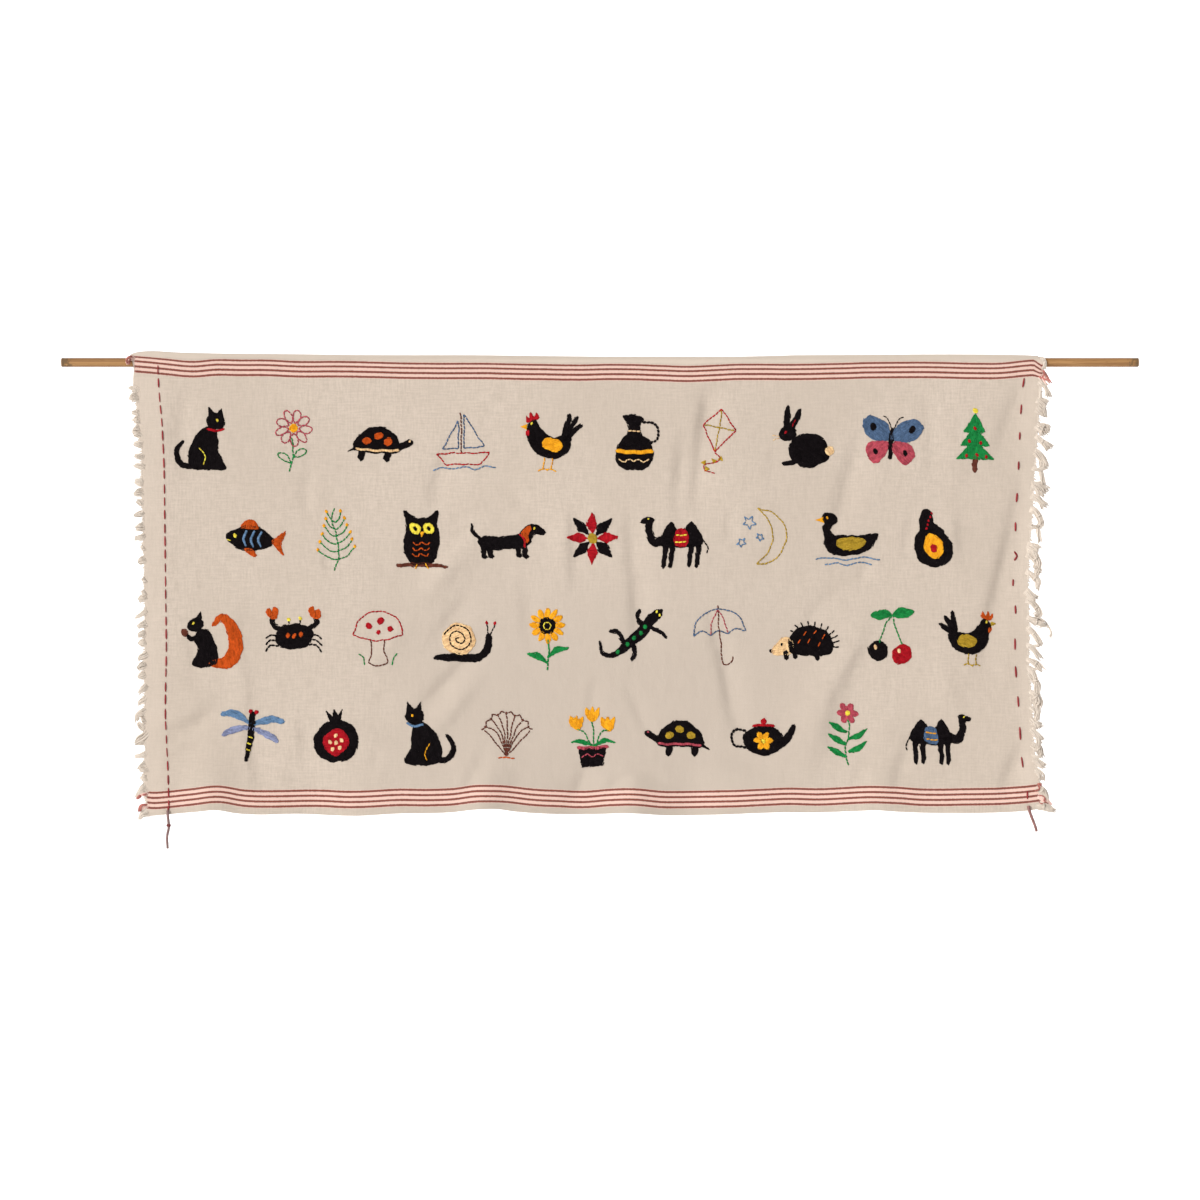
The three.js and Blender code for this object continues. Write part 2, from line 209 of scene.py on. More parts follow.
# Places on the cloth, in metres, and on its fold, in millimetres: each pair is where a change
# starts and where it is complete
TOP_LINES_BEGIN = (-0.6215, -0.6185)
LOW_LINES_BEGIN = (-0.6055, -0.603)
# The side margins are painted paler, as painted light
RIGHT_MARGIN = (0.550, 0.572)
LEFT_MARGIN = (0.572, 0.592)
# The lower middle is painted darker, as painted shade
PAINTED_SHADE_HALF_WIDTH = (0.12, 0.42)
PAINTED_SHADE_BELOW = (0.16, 0.42)
# The fold over the rod is painted paler, as painted light
FOLD_PAINTED_LIGHT = (4.0, 9.0)

# Yarns and relief, in metres
WARP_PITCH = 0.0013
WEFT_PITCH = 0.0011
HANGING_PLY = 0.0023
WEAVE_DEPTH = 0.0004
RIPPLE_DEPTH = 0.0018
PLY_DEPTH = 0.00025
GRAIN_DEPTH = 0.0005

# Marks on the rod, a darker ring near each end, and painted shade along its top and bottom,
# in metres from its middle or from its axis
SAWN_FACE = 0.7172
DARK_END = (0.7095, 0.7155)
MARKS_NEAR_END = (0.7015, 0.7045)
PAINTED_SHADE_EDGES = (0.0034, 0.0058)

# A stitch at five places along it: how far along, how far it sinks, and how thick it is
STITCH = np.array([
    (0, 0.42, 0.5), (0.18, 0.1, 0.95), (0.5, 0, 1), (0.82, 0.1, 0.95), (1, 0.42, 0.5),
])
STITCH_FLATNESS = 0.62

# Filling stitches, in millimetres: the shortest, how far they overlap, and how uneven they are.
# Every other row is moved along by a share of a stitch.
SHORTEST_ROW = 0.8
SHORTEST_STITCH = 0.6
STAGGER = 0.32
UNEVEN_CUT = 1.2
EDGE_OUT = 0.35
EDGE_IN = 0.25
STITCH_TILT = 0.12
STITCH_OVERLAP = 0.8
HAND_SWAY = 0.7
HAND_SHAKE = 0.5

# Lines of stem stitch, round a filled shape and alone: how proud, how long, how uneven, and how
# far one stitch overlaps the next
EDGE_LINE = {"width": 1.4, "proud": 0.3, "usual": 4.6, "rough": 0.5, "lap": 0.3}
STEM_LINE = {"proud": 0.35, "usual": 5.2, "rough": 0.2, "lap": -0.2}
STEM_SLANT = 0.12

# How proud of the cloth a stitch stands, and each layer over another. Behind, a share of the
# stitches shows, as wider and flatter ones.
STITCH_PROUD = 0.42
LAYER_PROUD = 0.46
MOST_LAYERS = 4
SEEN_BEHIND = 0.4
BEHIND_WIDER = 1.25
BEHIND_PROUD = 0.35

# Running stitches, in millimetres. The last ones, at the hem, have a thickness and a height of
# their own.
RUN_COUNT = 40
RUN_PITCH = 17.6
RUN_LATE = (0.5, 2.5)
RUN_LENGTH = 12.6
RUN_UNEVEN = 1.5
RUN_THICK_LEFT = (1.4, 2.3)
RUN_THICK_RIGHT = (2.3, 2.7)
RUN_THICK_BEHIND = 1.7
RUN_PROUD = 0.8
RUN_PROUD_BEHIND = 0.5
LAST_OVER_HEM = (2.4, 0.9)
LAST_BEHIND_HEM = (2.0, 0.5)
SHADES = (0.2, 0.8)

# The route of the left running thread, x and z in millimetres
RUNNING_LEFT = (
    (-586, 15), (-589, -11), (-587.3, -45), (-584, -79), (-582, -117), (-580.7, -154),
    (-578.7, -317), (-578, -383), (-579.3, -457), (-578, -503), (-576, -543), (-574.7, -591),
)

# Stitches of the right running thread, each from x1, z1 to x2, z2
RUNNING_RIGHT = (
    (565.5, -21, 563.5, -33), (562, -56, 561, -69), (560, -93, 559.5, -103),
    (558.5, -132, 558, -143), (556.5, -174, 555.5, -186), (554.5, -213, 554.5, -225),
    (553, -252, 557, -258), (557, -258, 553, -264), (551.5, -289, 551, -298),
    (554, -324, 554.5, -335), (553.5, -368, 553.5, -383), (554, -405, 555, -420),
    (557, -445, 558, -459), (559.5, -486, 560.5, -503), (562, -526, 564, -540),
    (569.5, -571, 569.5, -582),
)

# The loose ends of the running threads, in metres
THREAD_END_LEFT = (
    (-0.576, -0.597), (-0.5758, -0.606), (-0.5748, -0.614), (-0.5748, -0.621),
    (-0.577, -0.633), (-0.5762, -0.648),
)
THREAD_END_RIGHT = (
    (0.5705, -0.591), (0.5728, -0.600), (0.577, -0.611), (0.580, -0.619), (0.5815, -0.625),
)
THREAD_DIAMETER = 0.004
THREAD_AHEAD = 1.8
THREAD_FULL = 1.06
THREAD_TAPER = 0.12
THREAD_UNEVEN = 0.05
KNOT_PLACE = (-574.8, -617.0)
KNOT_SIZE = 2.2
KNOT_TURNS = 2.4
KNOT_STATIONS = 22

# Yarns of the fringe, in millimetres or as shares. Some stray out of their lock. A lock on the
# right starts a little inside the cloth's edge, and is tied when it has so many points.
YARN_STATIONS = 9
YARN_RADIUS = 0.7
YARN_TAPER = ((0, 0.3, 0.8, 1), (0.6, 1, 1, 0.55))
YARN_SWAY = 0.25
YARN_REACH = (-0.12, 0.03)
STRAY_EACH = 6
STRAY_REACH = (0.05, 0.22)
LOCK_SPREAD = 1.25
LOCK_TWIST = 0.5
LOCK_FLATNESS = 0.42
LEFT_WIDER = (1.7, 1.3)
RIGHT_WIDER = 1.25
STARTS_AT_EDGE = 6
START_INSIDE = (-4, 2)
START_WIDER = 1.1
TIED_POINTS = 5
STRIPE_AHEAD = 2.0
AHEAD_OF_ROD = 0.6
SLEEVE_END = -20.5
BELOW_SLEEVE = -25
BESIDE_ROD = -13.0
LOOSE_FROM = -26.0
LOOSE_PITCH = 1.7
LOOSE_ROOT = 2.0


def linear(r, g, b):
    """An sRGB colour from 0 to 255, as Blender's linear one."""
    def one(v):
        v = v / 255
        return v / 12.92 if v <= 0.04045 else ((v + 0.055) / 1.055) ** 2.4
    return (one(r), one(g), one(b), 1.0)


# The embroidery's threads
THREADS = {
    "black": (11, 5, 7),
    "orange": (245, 160, 30),
    "rust": (186, 76, 21),
    "crimson": (164, 18, 30),
    "rose": (172, 72, 84),
    "peach": (237, 190, 142),
    "slate": (77, 99, 128),
    "sky": (98, 128, 160),
    "green": (24, 124, 60),
    "yellow": (240, 208, 70),
    "mustard": (169, 138, 42),
    "brown": (96, 50, 38),
    "lilac": (132, 138, 168),
}

# Finer threads
TIED_THREAD = (116, 62, 60)
FRAYED_THREAD = (158, 126, 122)
LOOSE_THREAD = (164, 118, 112)

# Yarns of the fringe: the kind, its colour, its relief, and how far its shades spread
YARNS = (
    ("warp", (211, 198, 184), 0.5, 0.12), ("stripe", (172, 108, 98), 0.7, 0.42),
    ("ground", (232, 196, 184), 0.7, 0.12),
)


class HangingSizes(bpy.types.PropertyGroup):
    """Sizes that a maker would change."""

    stitch_pitch: bpy.props.FloatProperty(
        name="Stitch spacing", description="From one filling stitch to the next",
        default=0.00112, unit="LENGTH", precision=5,
    )
    stitch_length: bpy.props.FloatProperty(
        name="Stitch length", description="Usual length of a filling stitch",
        default=0.0078, unit="LENGTH", precision=4,
    )
    thread_width: bpy.props.FloatProperty(
        name="Thread width", description="Width of a filling stitch on the cloth",
        default=0.0016, unit="LENGTH", precision=4,
    )
    line_width: bpy.props.FloatProperty(
        name="Line width", description="Width of a line of stem stitch",
        default=0.0018, unit="LENGTH", precision=4,
    )
    across: bpy.props.IntProperty(
        name="Cloth columns", description="Columns of faces across the cloth", default=286,
    )
    down: bpy.props.IntProperty(
        name="Cloth rows", description="Rows of faces down the flat part of the cloth",
        default=112,
    )
    weave: bpy.props.FloatProperty(
        name="Weave relief", description="Strength of the cloth's weave",
        default=0.35, subtype="FACTOR", min=0, max=1,
    )


class HangingColours(bpy.types.PropertyGroup):
    """Colours that a maker would change."""

    cloth: bpy.props.FloatVectorProperty(
        name="Cloth", description="Unbleached cotton", subtype="COLOR", size=4,
        default=linear(197, 182, 167),
    )
    stripe: bpy.props.FloatVectorProperty(
        name="Stripe", description="Dark red woven lines", subtype="COLOR", size=4,
        default=linear(113, 47, 35),
    )
    stripe_ground: bpy.props.FloatVectorProperty(
        name="Stripe ground", description="Pale pink between the lines", subtype="COLOR",
        size=4, default=linear(230, 191, 176),
    )
    running: bpy.props.FloatVectorProperty(
        name="Running thread", description="Red thread down both sides", subtype="COLOR",
        size=4, default=linear(142, 46, 50),
    )
    wood: bpy.props.FloatVectorProperty(
        name="Rod", description="Bare wood", subtype="COLOR", size=4,
        default=linear(170, 126, 76),
    )


def sizes():
    return bpy.context.scene.hanging_sizes


def colours():
    return bpy.context.scene.hanging_colours


# Materials

def operator(operation):
    """An operator on values, and its reflected form for a plain number that comes first."""
    def forward(self, other):
        return self.math(operation, self, other)

    def reflected(self, other):
        return self.math(operation, other, self)

    return forward, reflected


class Value:
    """A shader socket that can be used in sums."""

    def __init__(self, finish, socket):
        self.finish = finish
        self.socket = socket

    def math(self, operation, *values):
        return self.finish.node("ShaderNodeMath", {"operation": operation}, dict(enumerate(values)))

    __add__, __radd__ = operator("ADD")
    __sub__, __rsub__ = operator("SUBTRACT")
    __mul__, __rmul__ = operator("MULTIPLY")
    __truediv__, __rtruediv__ = operator("DIVIDE")
    __pow__, __rpow__ = operator("POWER")

    def __neg__(self):
        return 0 - self

    def abs(self):
        return self.math("ABSOLUTE", self)

    def sin(self):
        return self.math("SINE", self)

    def fraction(self):
        return self.math("FRACT", self)

    def above(self, level):
        return self.math("GREATER_THAN", self, level)

    def at_least(self, level):
        return self.math("MAXIMUM", self, level)

    def at_most(self, level):
        return self.math("MINIMUM", self, level)

    def between(self, low, high):
        """0 below low, 1 above high, and a soft step from one to the other."""
        return self.finish.node(
            "ShaderNodeMapRange", {"interpolation_type": "SMOOTHSTEP"},
            {"Value": self, "From Min": low, "From Max": high},
        )


class Finish:
    """A material, or the light of the room, and the nodes that make it."""

    def __init__(self, owner, shader="Principled BSDF"):
        owner.use_nodes = True
        self.owner = owner
        self.tree = owner.node_tree
        self.shader = self.tree.nodes[shader]

    def node(self, kind, settings=None, inputs=None, output=0):
        """Adds a node, with its settings first and then its sockets' values or links."""
        made = self.tree.nodes.new(kind)
        for key, setting in (settings or {}).items():
            setattr(made, key, setting)
        for key, value in (inputs or {}).items():
            self.feed(made.inputs[key], value)
        return Value(self, made.outputs[output])

    def feed(self, socket, value):
        if isinstance(value, Value):
            self.tree.links.new(value.socket, socket)
        else:
            socket.default_value = value

    def set(self, **sockets):
        """Feeds the shader's own sockets, by their names with _ for each space."""
        for name, value in sockets.items():
            self.feed(self.shader.inputs[name.replace("_", " ")], value)

    def mix(self, share, a, b):
        """A colour between a and b. The Mix node numbers its colour sockets 6, 7 and 2."""
        settings = {"data_type": "RGBA"}
        return self.node("ShaderNodeMix", settings, {0: share, 6: a, 7: b}, output=2)

    def place(self, kind="Object"):
        return self.node("ShaderNodeTexCoord", output=kind)

    def attribute(self, name):
        return self.node("ShaderNodeAttribute", {"attribute_name": name}, output="Fac")

    def parts(self, vector):
        """A vector's three numbers."""
        node = self.node("ShaderNodeSeparateXYZ", inputs={0: vector}).socket.node
        return [Value(self, output) for output in node.outputs]

    def noise(self, vector, fineness, detail=2.0, roughness=0.5):
        """Soft noise, as fine along each direction as that direction's number is large."""
        settings = {"vector_type": "POINT"}
        inputs = {"Vector": vector, "Scale": fineness}
        stretched = self.node("ShaderNodeMapping", settings, inputs)
        return self.node(
            "ShaderNodeTexNoise", {"noise_dimensions": "3D"},
            {"Vector": stretched, "Scale": 1.0, "Detail": detail, "Roughness": roughness},
        )

    def bump(self, height, strength, distance, under=None):
        inputs = {"Height": height, "Strength": strength, "Distance": distance}
        if under is not None:
            inputs["Normal"] = under
        return self.node("ShaderNodeBump", None, inputs)


def shaded(colour, *factors, lift=0.0):
    """A colour times one factor, or one each for its red, green and blue."""
    factors = factors * 3 if len(factors) == 1 else factors
    return tuple(min(1.0, c * s + lift) for c, s in zip(colour, factors)) + (1.0,)


def stripe_masks(distance, first, pitch, wobble):
    """The dark lines and the pale band of one border, by the distance from its edge."""
    place = distance + wobble - first
    off_line = ((place / pitch + 0.5).fraction() - 0.5).abs() * pitch
    half = STRIPE_WIDTH / 2
    last = pitch * (STRIPE_COUNT - 1)
    full, gone = half + BAND_FADES[0], half + BAND_FADES[1]
    inside = place.between(-gone, -full) * (1 - place.between(last + full, last + gone))
    line = 1 - off_line.between(half - LINE_SOFTNESS, half + LINE_SOFTNESS)
    return line * inside, inside


def cloth_finish():
    """Unbleached hand-woven cotton with four red lines along its top and bottom. Painted shade
    darkens its lower middle, and painted light makes it paler beside the fringe and along the
    fold over the rod."""
    f = Finish(bpy.data.materials.new("hand_woven_cotton"))
    uv = f.place("UV")
    across, along, _ = f.parts(uv)
    upright = f.noise(uv, (480, 55, 1))
    level = f.noise(uv, (48, 450, 1))
    broad = f.noise(uv, (5, 5, 1))
    slub = f.noise(uv, (260, 12, 1), 3.0)
    nep = f.noise(uv, (330, 330, 1), 3.0)
    wobble = f.noise(uv, (16, 0, 1)) - 0.5
    ragged = (f.noise(uv, (420, 420, 1), 1.0) - 0.5) * RAGGED_EDGE
    uneven = wobble + ragged
    from_fold = f.attribute("from_fold")
    top_line, top_band = stripe_masks(from_fold, STRIPES_FROM_FOLD, STRIPE_PITCH_TOP, uneven)
    from_hem = f.attribute("from_hem")
    low_line, low_band = stripe_masks(from_hem, STRIPES_FROM_HEM, STRIPE_PITCH_BOTTOM, uneven)
    top_end = across.between(*TOP_LINES_BEGIN)
    low_end = across.between(*LOW_LINES_BEGIN)
    line = (top_line * top_end).at_least(low_line * low_end)
    band = (top_band * top_end).at_least(low_band * low_end)
    base = colours().cloth
    dark = shaded(base, 0.905, 0.9, 0.888)
    pale = shaded(base, 1.085, 1.085, 1.09)
    yarn = (upright * 0.34 + level * 0.34 + slub * 0.1 + nep * 0.22).between(0.36, 0.64)
    cotton = f.mix(yarn, dark, pale)
    cotton = f.mix(broad.between(0.35, 0.7) * 0.55, cotton, dark)
    # Painted shade: the lower middle of the cloth is painted darker.
    middle = (1 - across.abs().between(*PAINTED_SHADE_HALF_WIDTH)) * (-along).between(*PAINTED_SHADE_BELOW)
    cotton = f.mix(middle * 0.9, cotton, shaded(base, 0.91))
    # Painted light: the side margins and the fold over the rod are painted paler.
    margin = across.between(*RIGHT_MARGIN) + (-across).between(*LEFT_MARGIN)
    painted_light = margin * 0.42 + (1 - from_fold.between(*FOLD_PAINTED_LIGHT)) * 0.95
    cotton = f.mix(painted_light.at_most(1.0), cotton, shaded(base, 1.13))
    tinted = f.mix(band * (0.72 + yarn * 0.2), cotton, tuple(colours().stripe_ground))
    red = tuple(colours().stripe)
    worn = shaded(red, 1.2, 1.3, 1.3, lift=0.05)
    striped = f.mix(line * 0.95, tinted, f.mix(yarn * 0.45, red, worn))
    f.set(Base_Color=striped, Roughness=0.93, Specular_IOR_Level=0.18)
    f.set(Sheen_Weight=0.12, Sheen_Roughness=0.6)
    warp = (along * (2 * math.pi / WARP_PITCH)).sin()
    weft = (across * (2 * math.pi / WEFT_PITCH)).sin()
    threads = warp * weft * 0.5 + upright * 0.6 + slub * 0.3 + level * 0.6 + nep * 0.4
    weave = f.bump(threads, sizes().weave, WEAVE_DEPTH)
    f.set(Normal=f.bump(f.noise(uv, (60, 34, 1), 3.0), 0.5, RIPPLE_DEPTH, weave))
    return f.owner


def thread_finish(
    name, colour, roughness=0.7, twist=1.7, relief=0.6, spread=0.3, gloss=0.2, hanging=False,
):
    """Twisted cotton thread, in patches of a darker and a paler shade. Each strand's own shade
    changes it too, and the grooves of its twist are painted darker, as painted shade. A hanging
    thread has no map of its own, so its twist follows its height."""
    f = Finish(bpy.data.materials.new(name))
    spot = f.place()
    if hanging:
        aside, _, up = f.parts(spot)
        ply = ((up + aside * 0.9) * (2 * math.pi / HANGING_PLY)).sin()
    else:
        around, along, _ = f.parts(f.place("UV"))
        ply = ((around + along * (1 / twist)) * (2 * math.pi)).sin()
    dark = shaded(colour, 1 - spread)
    pale = shaded(colour, 1 + spread * 1.4, lift=0.0035)
    fibre = f.noise(spot, (700, 700, 700))
    patch = f.noise(spot, (190, 190, 190), 3.0)
    # The ply term paints the grooves of the twist darker: painted shade.
    share = f.attribute("shade") * 0.8 + ply * 0.12 + fibre * 0.3 + patch * 1.5 - 0.85
    f.set(Base_Color=f.mix(share, dark, pale), Roughness=roughness, Specular_IOR_Level=gloss)
    f.set(Normal=f.bump(ply * 0.6 + fibre * 0.5, relief, PLY_DEPTH))
    return f.owner


def wood_finish():
    """A bare dowel with fine straight grain, dark streaks and pores and worn, paler patches.
    It is darker in a ring near each sawn end, and painted shade darkens it along its top and bottom."""
    f = Finish(bpy.data.materials.new("bare_wood"))
    spot = f.place()
    x, y, z = f.parts(spot)
    sawn_face = (x.abs() - SAWN_FACE).above(0)
    grain = f.noise(spot, (4, 380, 380), 4.0, 0.65)
    streak = f.noise(spot, (11, 190, 190))
    pores = f.noise(spot, (90, 1100, 1100))
    patch = f.noise(spot, (9, 30, 30))
    knot_marks = f.noise(spot, (330, 260, 260), 1.0)
    rings = ((y * y + z * z) ** 0.5 * 2600 + grain * 5).sin()
    wood = tuple(colours().wood)
    dark = shaded(wood, 0.52, 0.43, 0.32)
    dark_grey = shaded(wood, 0.3, 0.33, 0.36)
    body = f.mix(grain.between(0.28, 0.66), dark, wood)
    body = f.mix(patch.between(0.45, 0.7) * 0.6, body, shaded(wood, 1.15, 1.2, 1.3))
    body = f.mix(streak.between(0.55, 0.7) * 0.55, body, dark)
    body = f.mix((1 - pores.between(0.28, 0.42)) * 0.6, body, dark)
    # Painted shade: the rod's top and bottom are painted darker.
    body = f.mix(z.abs().between(*PAINTED_SHADE_EDGES) * 0.5, body, dark)
    marks = x.abs().between(*MARKS_NEAR_END) * knot_marks.between(0.42, 0.56)
    body = f.mix(marks * 0.75, body, dark_grey)
    body = f.mix(x.abs().between(*DARK_END) * 0.75, body, dark_grey)
    sawn = f.mix(rings * 0.25 + 0.4, wood, dark)
    f.set(Base_Color=f.mix(sawn_face, body, sawn), Roughness=0.62 + grain * 0.15)
    f.set(Normal=f.bump(grain * 0.7 + pores * 0.3, 0.45, GRAIN_DEPTH))
    return f.owner


# Lines and curves

def in_scene(name, data):
    """A new object in the scene, at the origin."""
    made = bpy.data.objects.new(name, data)
    bpy.context.scene.collection.objects.link(made)
    return made


def unit(vectors, tiny=1e-9):
    """Vectors with the same directions, one long."""
    return vectors / (np.linalg.norm(vectors, axis=-1, keepdims=True) + tiny)


def distances(line):
    """How far along a line each of its points lies."""
    return np.r_[0, np.cumsum(np.linalg.norm(np.diff(line, axis=0), axis=1))]


def places(line, steps, where):
    """A line's points at the given distances along it."""
    return np.stack([np.interp(where, steps, column) for column in line.T], -1)


def turned(points, degrees, x=0.0, z=0.0):
    """Points turned about the origin and then moved to x and z."""
    points = np.asarray(points, float)
    c, s = math.cos(math.radians(degrees)), math.sin(math.radians(degrees))
    return np.stack([
        x + points[:, 0] * c - points[:, 1] * s, z + points[:, 0] * s + points[:, 1] * c,
    ], 1)


def smooth_open(points, step=1.5):
    """A smooth curve through points, as points a step apart."""
    points = np.asarray(points, float)
    if len(points) == 2:
        count = max(2, int(np.linalg.norm(points[1] - points[0]) / step) + 1)
        return points[0] + (points[1] - points[0]) * np.linspace(0, 1, count)[:, None]
    return _rounded([2 * points[0] - points[1], *points, 2 * points[-1] - points[-2]], step)


def smooth_closed(points, step=2.0):
    return _rounded([points[-1], *points, points[0], points[1]], step)[:-1]


def _rounded(padded, step):
    padded = np.asarray(padded, float)
    out = []
    for i in range(1, len(padded) - 2):
        a, b, c, d = padded[i - 1:i + 3]
        count = max(2, int(np.linalg.norm(c - b) / step))
        t = (np.arange(count) / count)[:, None]
        out.append(0.5 * (
            2 * b + (c - a) * t + (2 * a - 5 * b + 4 * c - d) * t**2
            + (3 * b - a - 3 * c + d) * t**3
        ))
    return np.vstack([*out, padded[-2]])


def oval(x, z, across, up, turn=0.0):
    """The outline of an oval: its middle, and half its width and height."""
    t = np.linspace(0, 2 * math.pi, max(8, int(across + up)), endpoint=False)
    return turned(np.stack([across * np.cos(t), up * np.sin(t)], 1), turn, x, z)


def limb(points, widths):
    """The outline of a rounded stroke whose width changes along it."""
    line = smooth_open(points, 3.0)
    place = np.linspace(0, 1, len(line))
    half = np.interp(place, np.linspace(0, 1, len(widths)), widths) / 2
    ahead = unit(np.gradient(line, axis=0))
    aside = np.stack([-ahead[:, 1], ahead[:, 0]], 1) * half[:, None]
    tip = line[-1] + ahead[-1] * half[-1]
    tail = line[0] - ahead[0] * half[0]
    return np.vstack([line + aside, tip, (line - aside)[::-1], tail])


# The shape of the cloth

def through(pairs, flipped=False):
    """A smooth curve through pairs of numbers. A flipped one finds the first by the second."""
    rows = np.array(sorted((b, a) if flipped else (a, b) for a, b in pairs), float)
    at, value = rows.T
    before = np.r_[at[1], at[:-2]]
    after = np.r_[at[2:], at[-2]]
    value_before = np.r_[value[1], value[:-2]]
    value_after = np.r_[value[2:], value[-2]]
    low, high = at[:-1], at[1:]
    half = (high - low) / 2
    weight_before = half / (low - before)
    weight_after = half / (after - high)

    def curve(x):
        x = np.clip(np.asarray(x, float), at[0], at[-1])
        i = np.clip(np.searchsorted(at, x, side="right") - 1, 0, len(at) - 2)
        p = (x - low[i]) / (high[i] - low[i])
        pp, ppp = p * p, p * p * p
        wb, wa = weight_before[i], weight_after[i]
        return (
            value_before[i] * (-wb * ppp + 2 * wb * pp - wb * p)
            + value[i] * ((1 + wb) * ppp + (-1.5 - 2 * wb) * pp + (-0.5 + wb) * p + 1)
            + value[i + 1] * ((-1 - wa) * ppp + (1.5 + wa) * pp + 0.5 * p)
            + value_after[i] * (wa * ppp - wa * pp)
        )

    return curve


top_at = through(TOP_EDGE)
bottom_at = through(BOTTOM_EDGE)
left_at = through(LEFT_EDGE, flipped=True)
right_at = through(RIGHT_EDGE, flipped=True)
top_stripes_at = through(TOP_STRIPES)
low_stripes_at = through(LOW_STRIPES)


def smooth_step(v, low, high):
    """0 below low, 1 above high, and a soft step from one to the other."""
    t = np.clip((v - low) / (high - low), 0, 1)
    return t * t * (3 - 2 * t)


def crease_at(x, z, x1, z1, x2, z2, steep, gentle, forward):
    """One crease: steep on one side of its line, gentle on the other, and fading at its ends."""
    run_x, run_z = x2 - x1, z2 - z1
    length = math.hypot(run_x, run_z)
    share = ((x - x1) * run_x + (z - z1) * run_z) / length**2
    beyond = np.maximum(0, np.maximum(-share, share - 1)) * length
    aside = ((z - z1) * run_x - (x - x1) * run_z) / length
    aside = aside * math.copysign(1, forward) + CREASE_SHIFT * steep
    wide = np.where(aside > 0, steep, gentle)
    depth = forward * np.sin(math.pi * (CREASE_START + CREASE_SWELL * np.clip(share, 0, 1)))
    end = CREASE_END * (steep + gentle)
    return depth * np.exp(-((aside / wide) ** 2) - (beyond / end) ** 2)


def forward_at(x, z):
    """How far the cloth stands forward at a place, from its creases and its broad bowing."""
    fade = smooth_step(-SEAM_BELOW_ROD - z, 0, FOLDS_FADE_IN)
    out = BILLOW["forward"] * np.sin(x / BILLOW["across"] * math.pi + BILLOW["start"])
    out = out * np.sin(-z / BILLOW["down"] * math.pi) * fade
    for x1, z1, x2, z2, half, forward in HEM_WAVES:
        run_x, run_z = x2 - x1, z2 - z1
        share = np.clip(((x - x1) * run_x + (z - z1) * run_z) / (run_x**2 + run_z**2), 0, 1)
        off = (x - x1 - share * run_x) ** 2 + (z - z1 - share * run_z) ** 2
        swell = np.sin(share * math.pi / 2 + HEM_WAVE_START)
        out = out + forward * swell * np.exp(-off / half**2)
    creases = CREASE_DEPTH * sum(crease_at(x, z, *row) for row in CREASES)
    return out + creases * smooth_step(-SEAM_BELOW_ROD - z, 0, CREASES_FADE_IN)


def half_pocket(z, fold):
    """Half the space between the sleeve's layers: round the rod, then straight to its edges."""
    def round_at(h):
        return np.sqrt(np.maximum(0, POCKET_RADIUS**2 - h * h))

    inner = fold - CLOTH
    upper = POCKET_RADIUS**2 / inner
    lower = -(POCKET_RADIUS**2) / SEAM_BELOW_ROD
    above = round_at(upper) * (inner - z) / (inner - upper)
    below = round_at(lower) * (z + SEAM_BELOW_ROD) / (lower + SEAM_BELOW_ROD)
    half = np.where(z > upper, above, np.where(z < lower, below, round_at(z)))
    return np.where((z >= inner) | (z <= -SEAM_BELOW_ROD), 0.0, np.maximum(half, 0))


def front_face(x, z):
    """The y of the cloth's outer front face at a place, in millimetres."""
    x, z = np.broadcast_arrays(np.asarray(x, float), np.asarray(z, float))
    return -CLOTH - half_pocket(z, top_at(x)) - forward_at(x, z)


def cloth_stations(rows_below):
    """The cloth's middle line across the rod, from the bottom edge to the hem behind.
    Each has its side, -1 in front and 1 behind, and its height."""
    flat = np.linspace(LOWEST, -HEM_BELOW_ROD, rows_below)
    sleeve = np.concatenate([np.linspace(*rows) for rows in SLEEVE_ROWS])
    front = [(-1, z) for z in np.r_[flat, sleeve]]
    back = [(1, z) for z in np.r_[sleeve[::-1], -HEM_BELOW_ROD]]
    return np.array([*front, (0, HIGHEST), *back])


def place_on_cloth(across, side, z):
    """Arrays of x, y and z for the cloth's middle layer."""
    flat_x = left_at(z) * (1 - across) + right_at(z) * across
    fold = top_at(flat_x)
    over = np.maximum(z, 0) * (fold - CLOTH / 2) / HIGHEST
    below = np.maximum(0, -HEM_BELOW_ROD - z) / (-HEM_BELOW_ROD - LOWEST)
    height = np.where(z > 0, over, z + (bottom_at(flat_x) - LOWEST) * below)
    y = side * (half_pocket(height, fold) + CLOTH / 2) - forward_at(flat_x, height)
    return flat_x, y, height


def from_fold_at(x, z):
    """How far down the border a place in front lies. The stripes turn down at the right end
    of the rod, and the first one looks closer to the second as it bends over the rod."""
    low, high = TURN_DOWN_FADES
    turn = TURN_DOWN_BY * smooth_step(x, *TURN_DOWN) * np.clip((z - low) / (high - low), 0, 1)
    down = top_stripes_at(x) - z + 2 * STRIPE_PITCH_TOP - turn
    return STRIPES_FROM_FOLD + down - OVER_THE_ROD * np.maximum(0, STRIPE_PITCH_TOP - down)


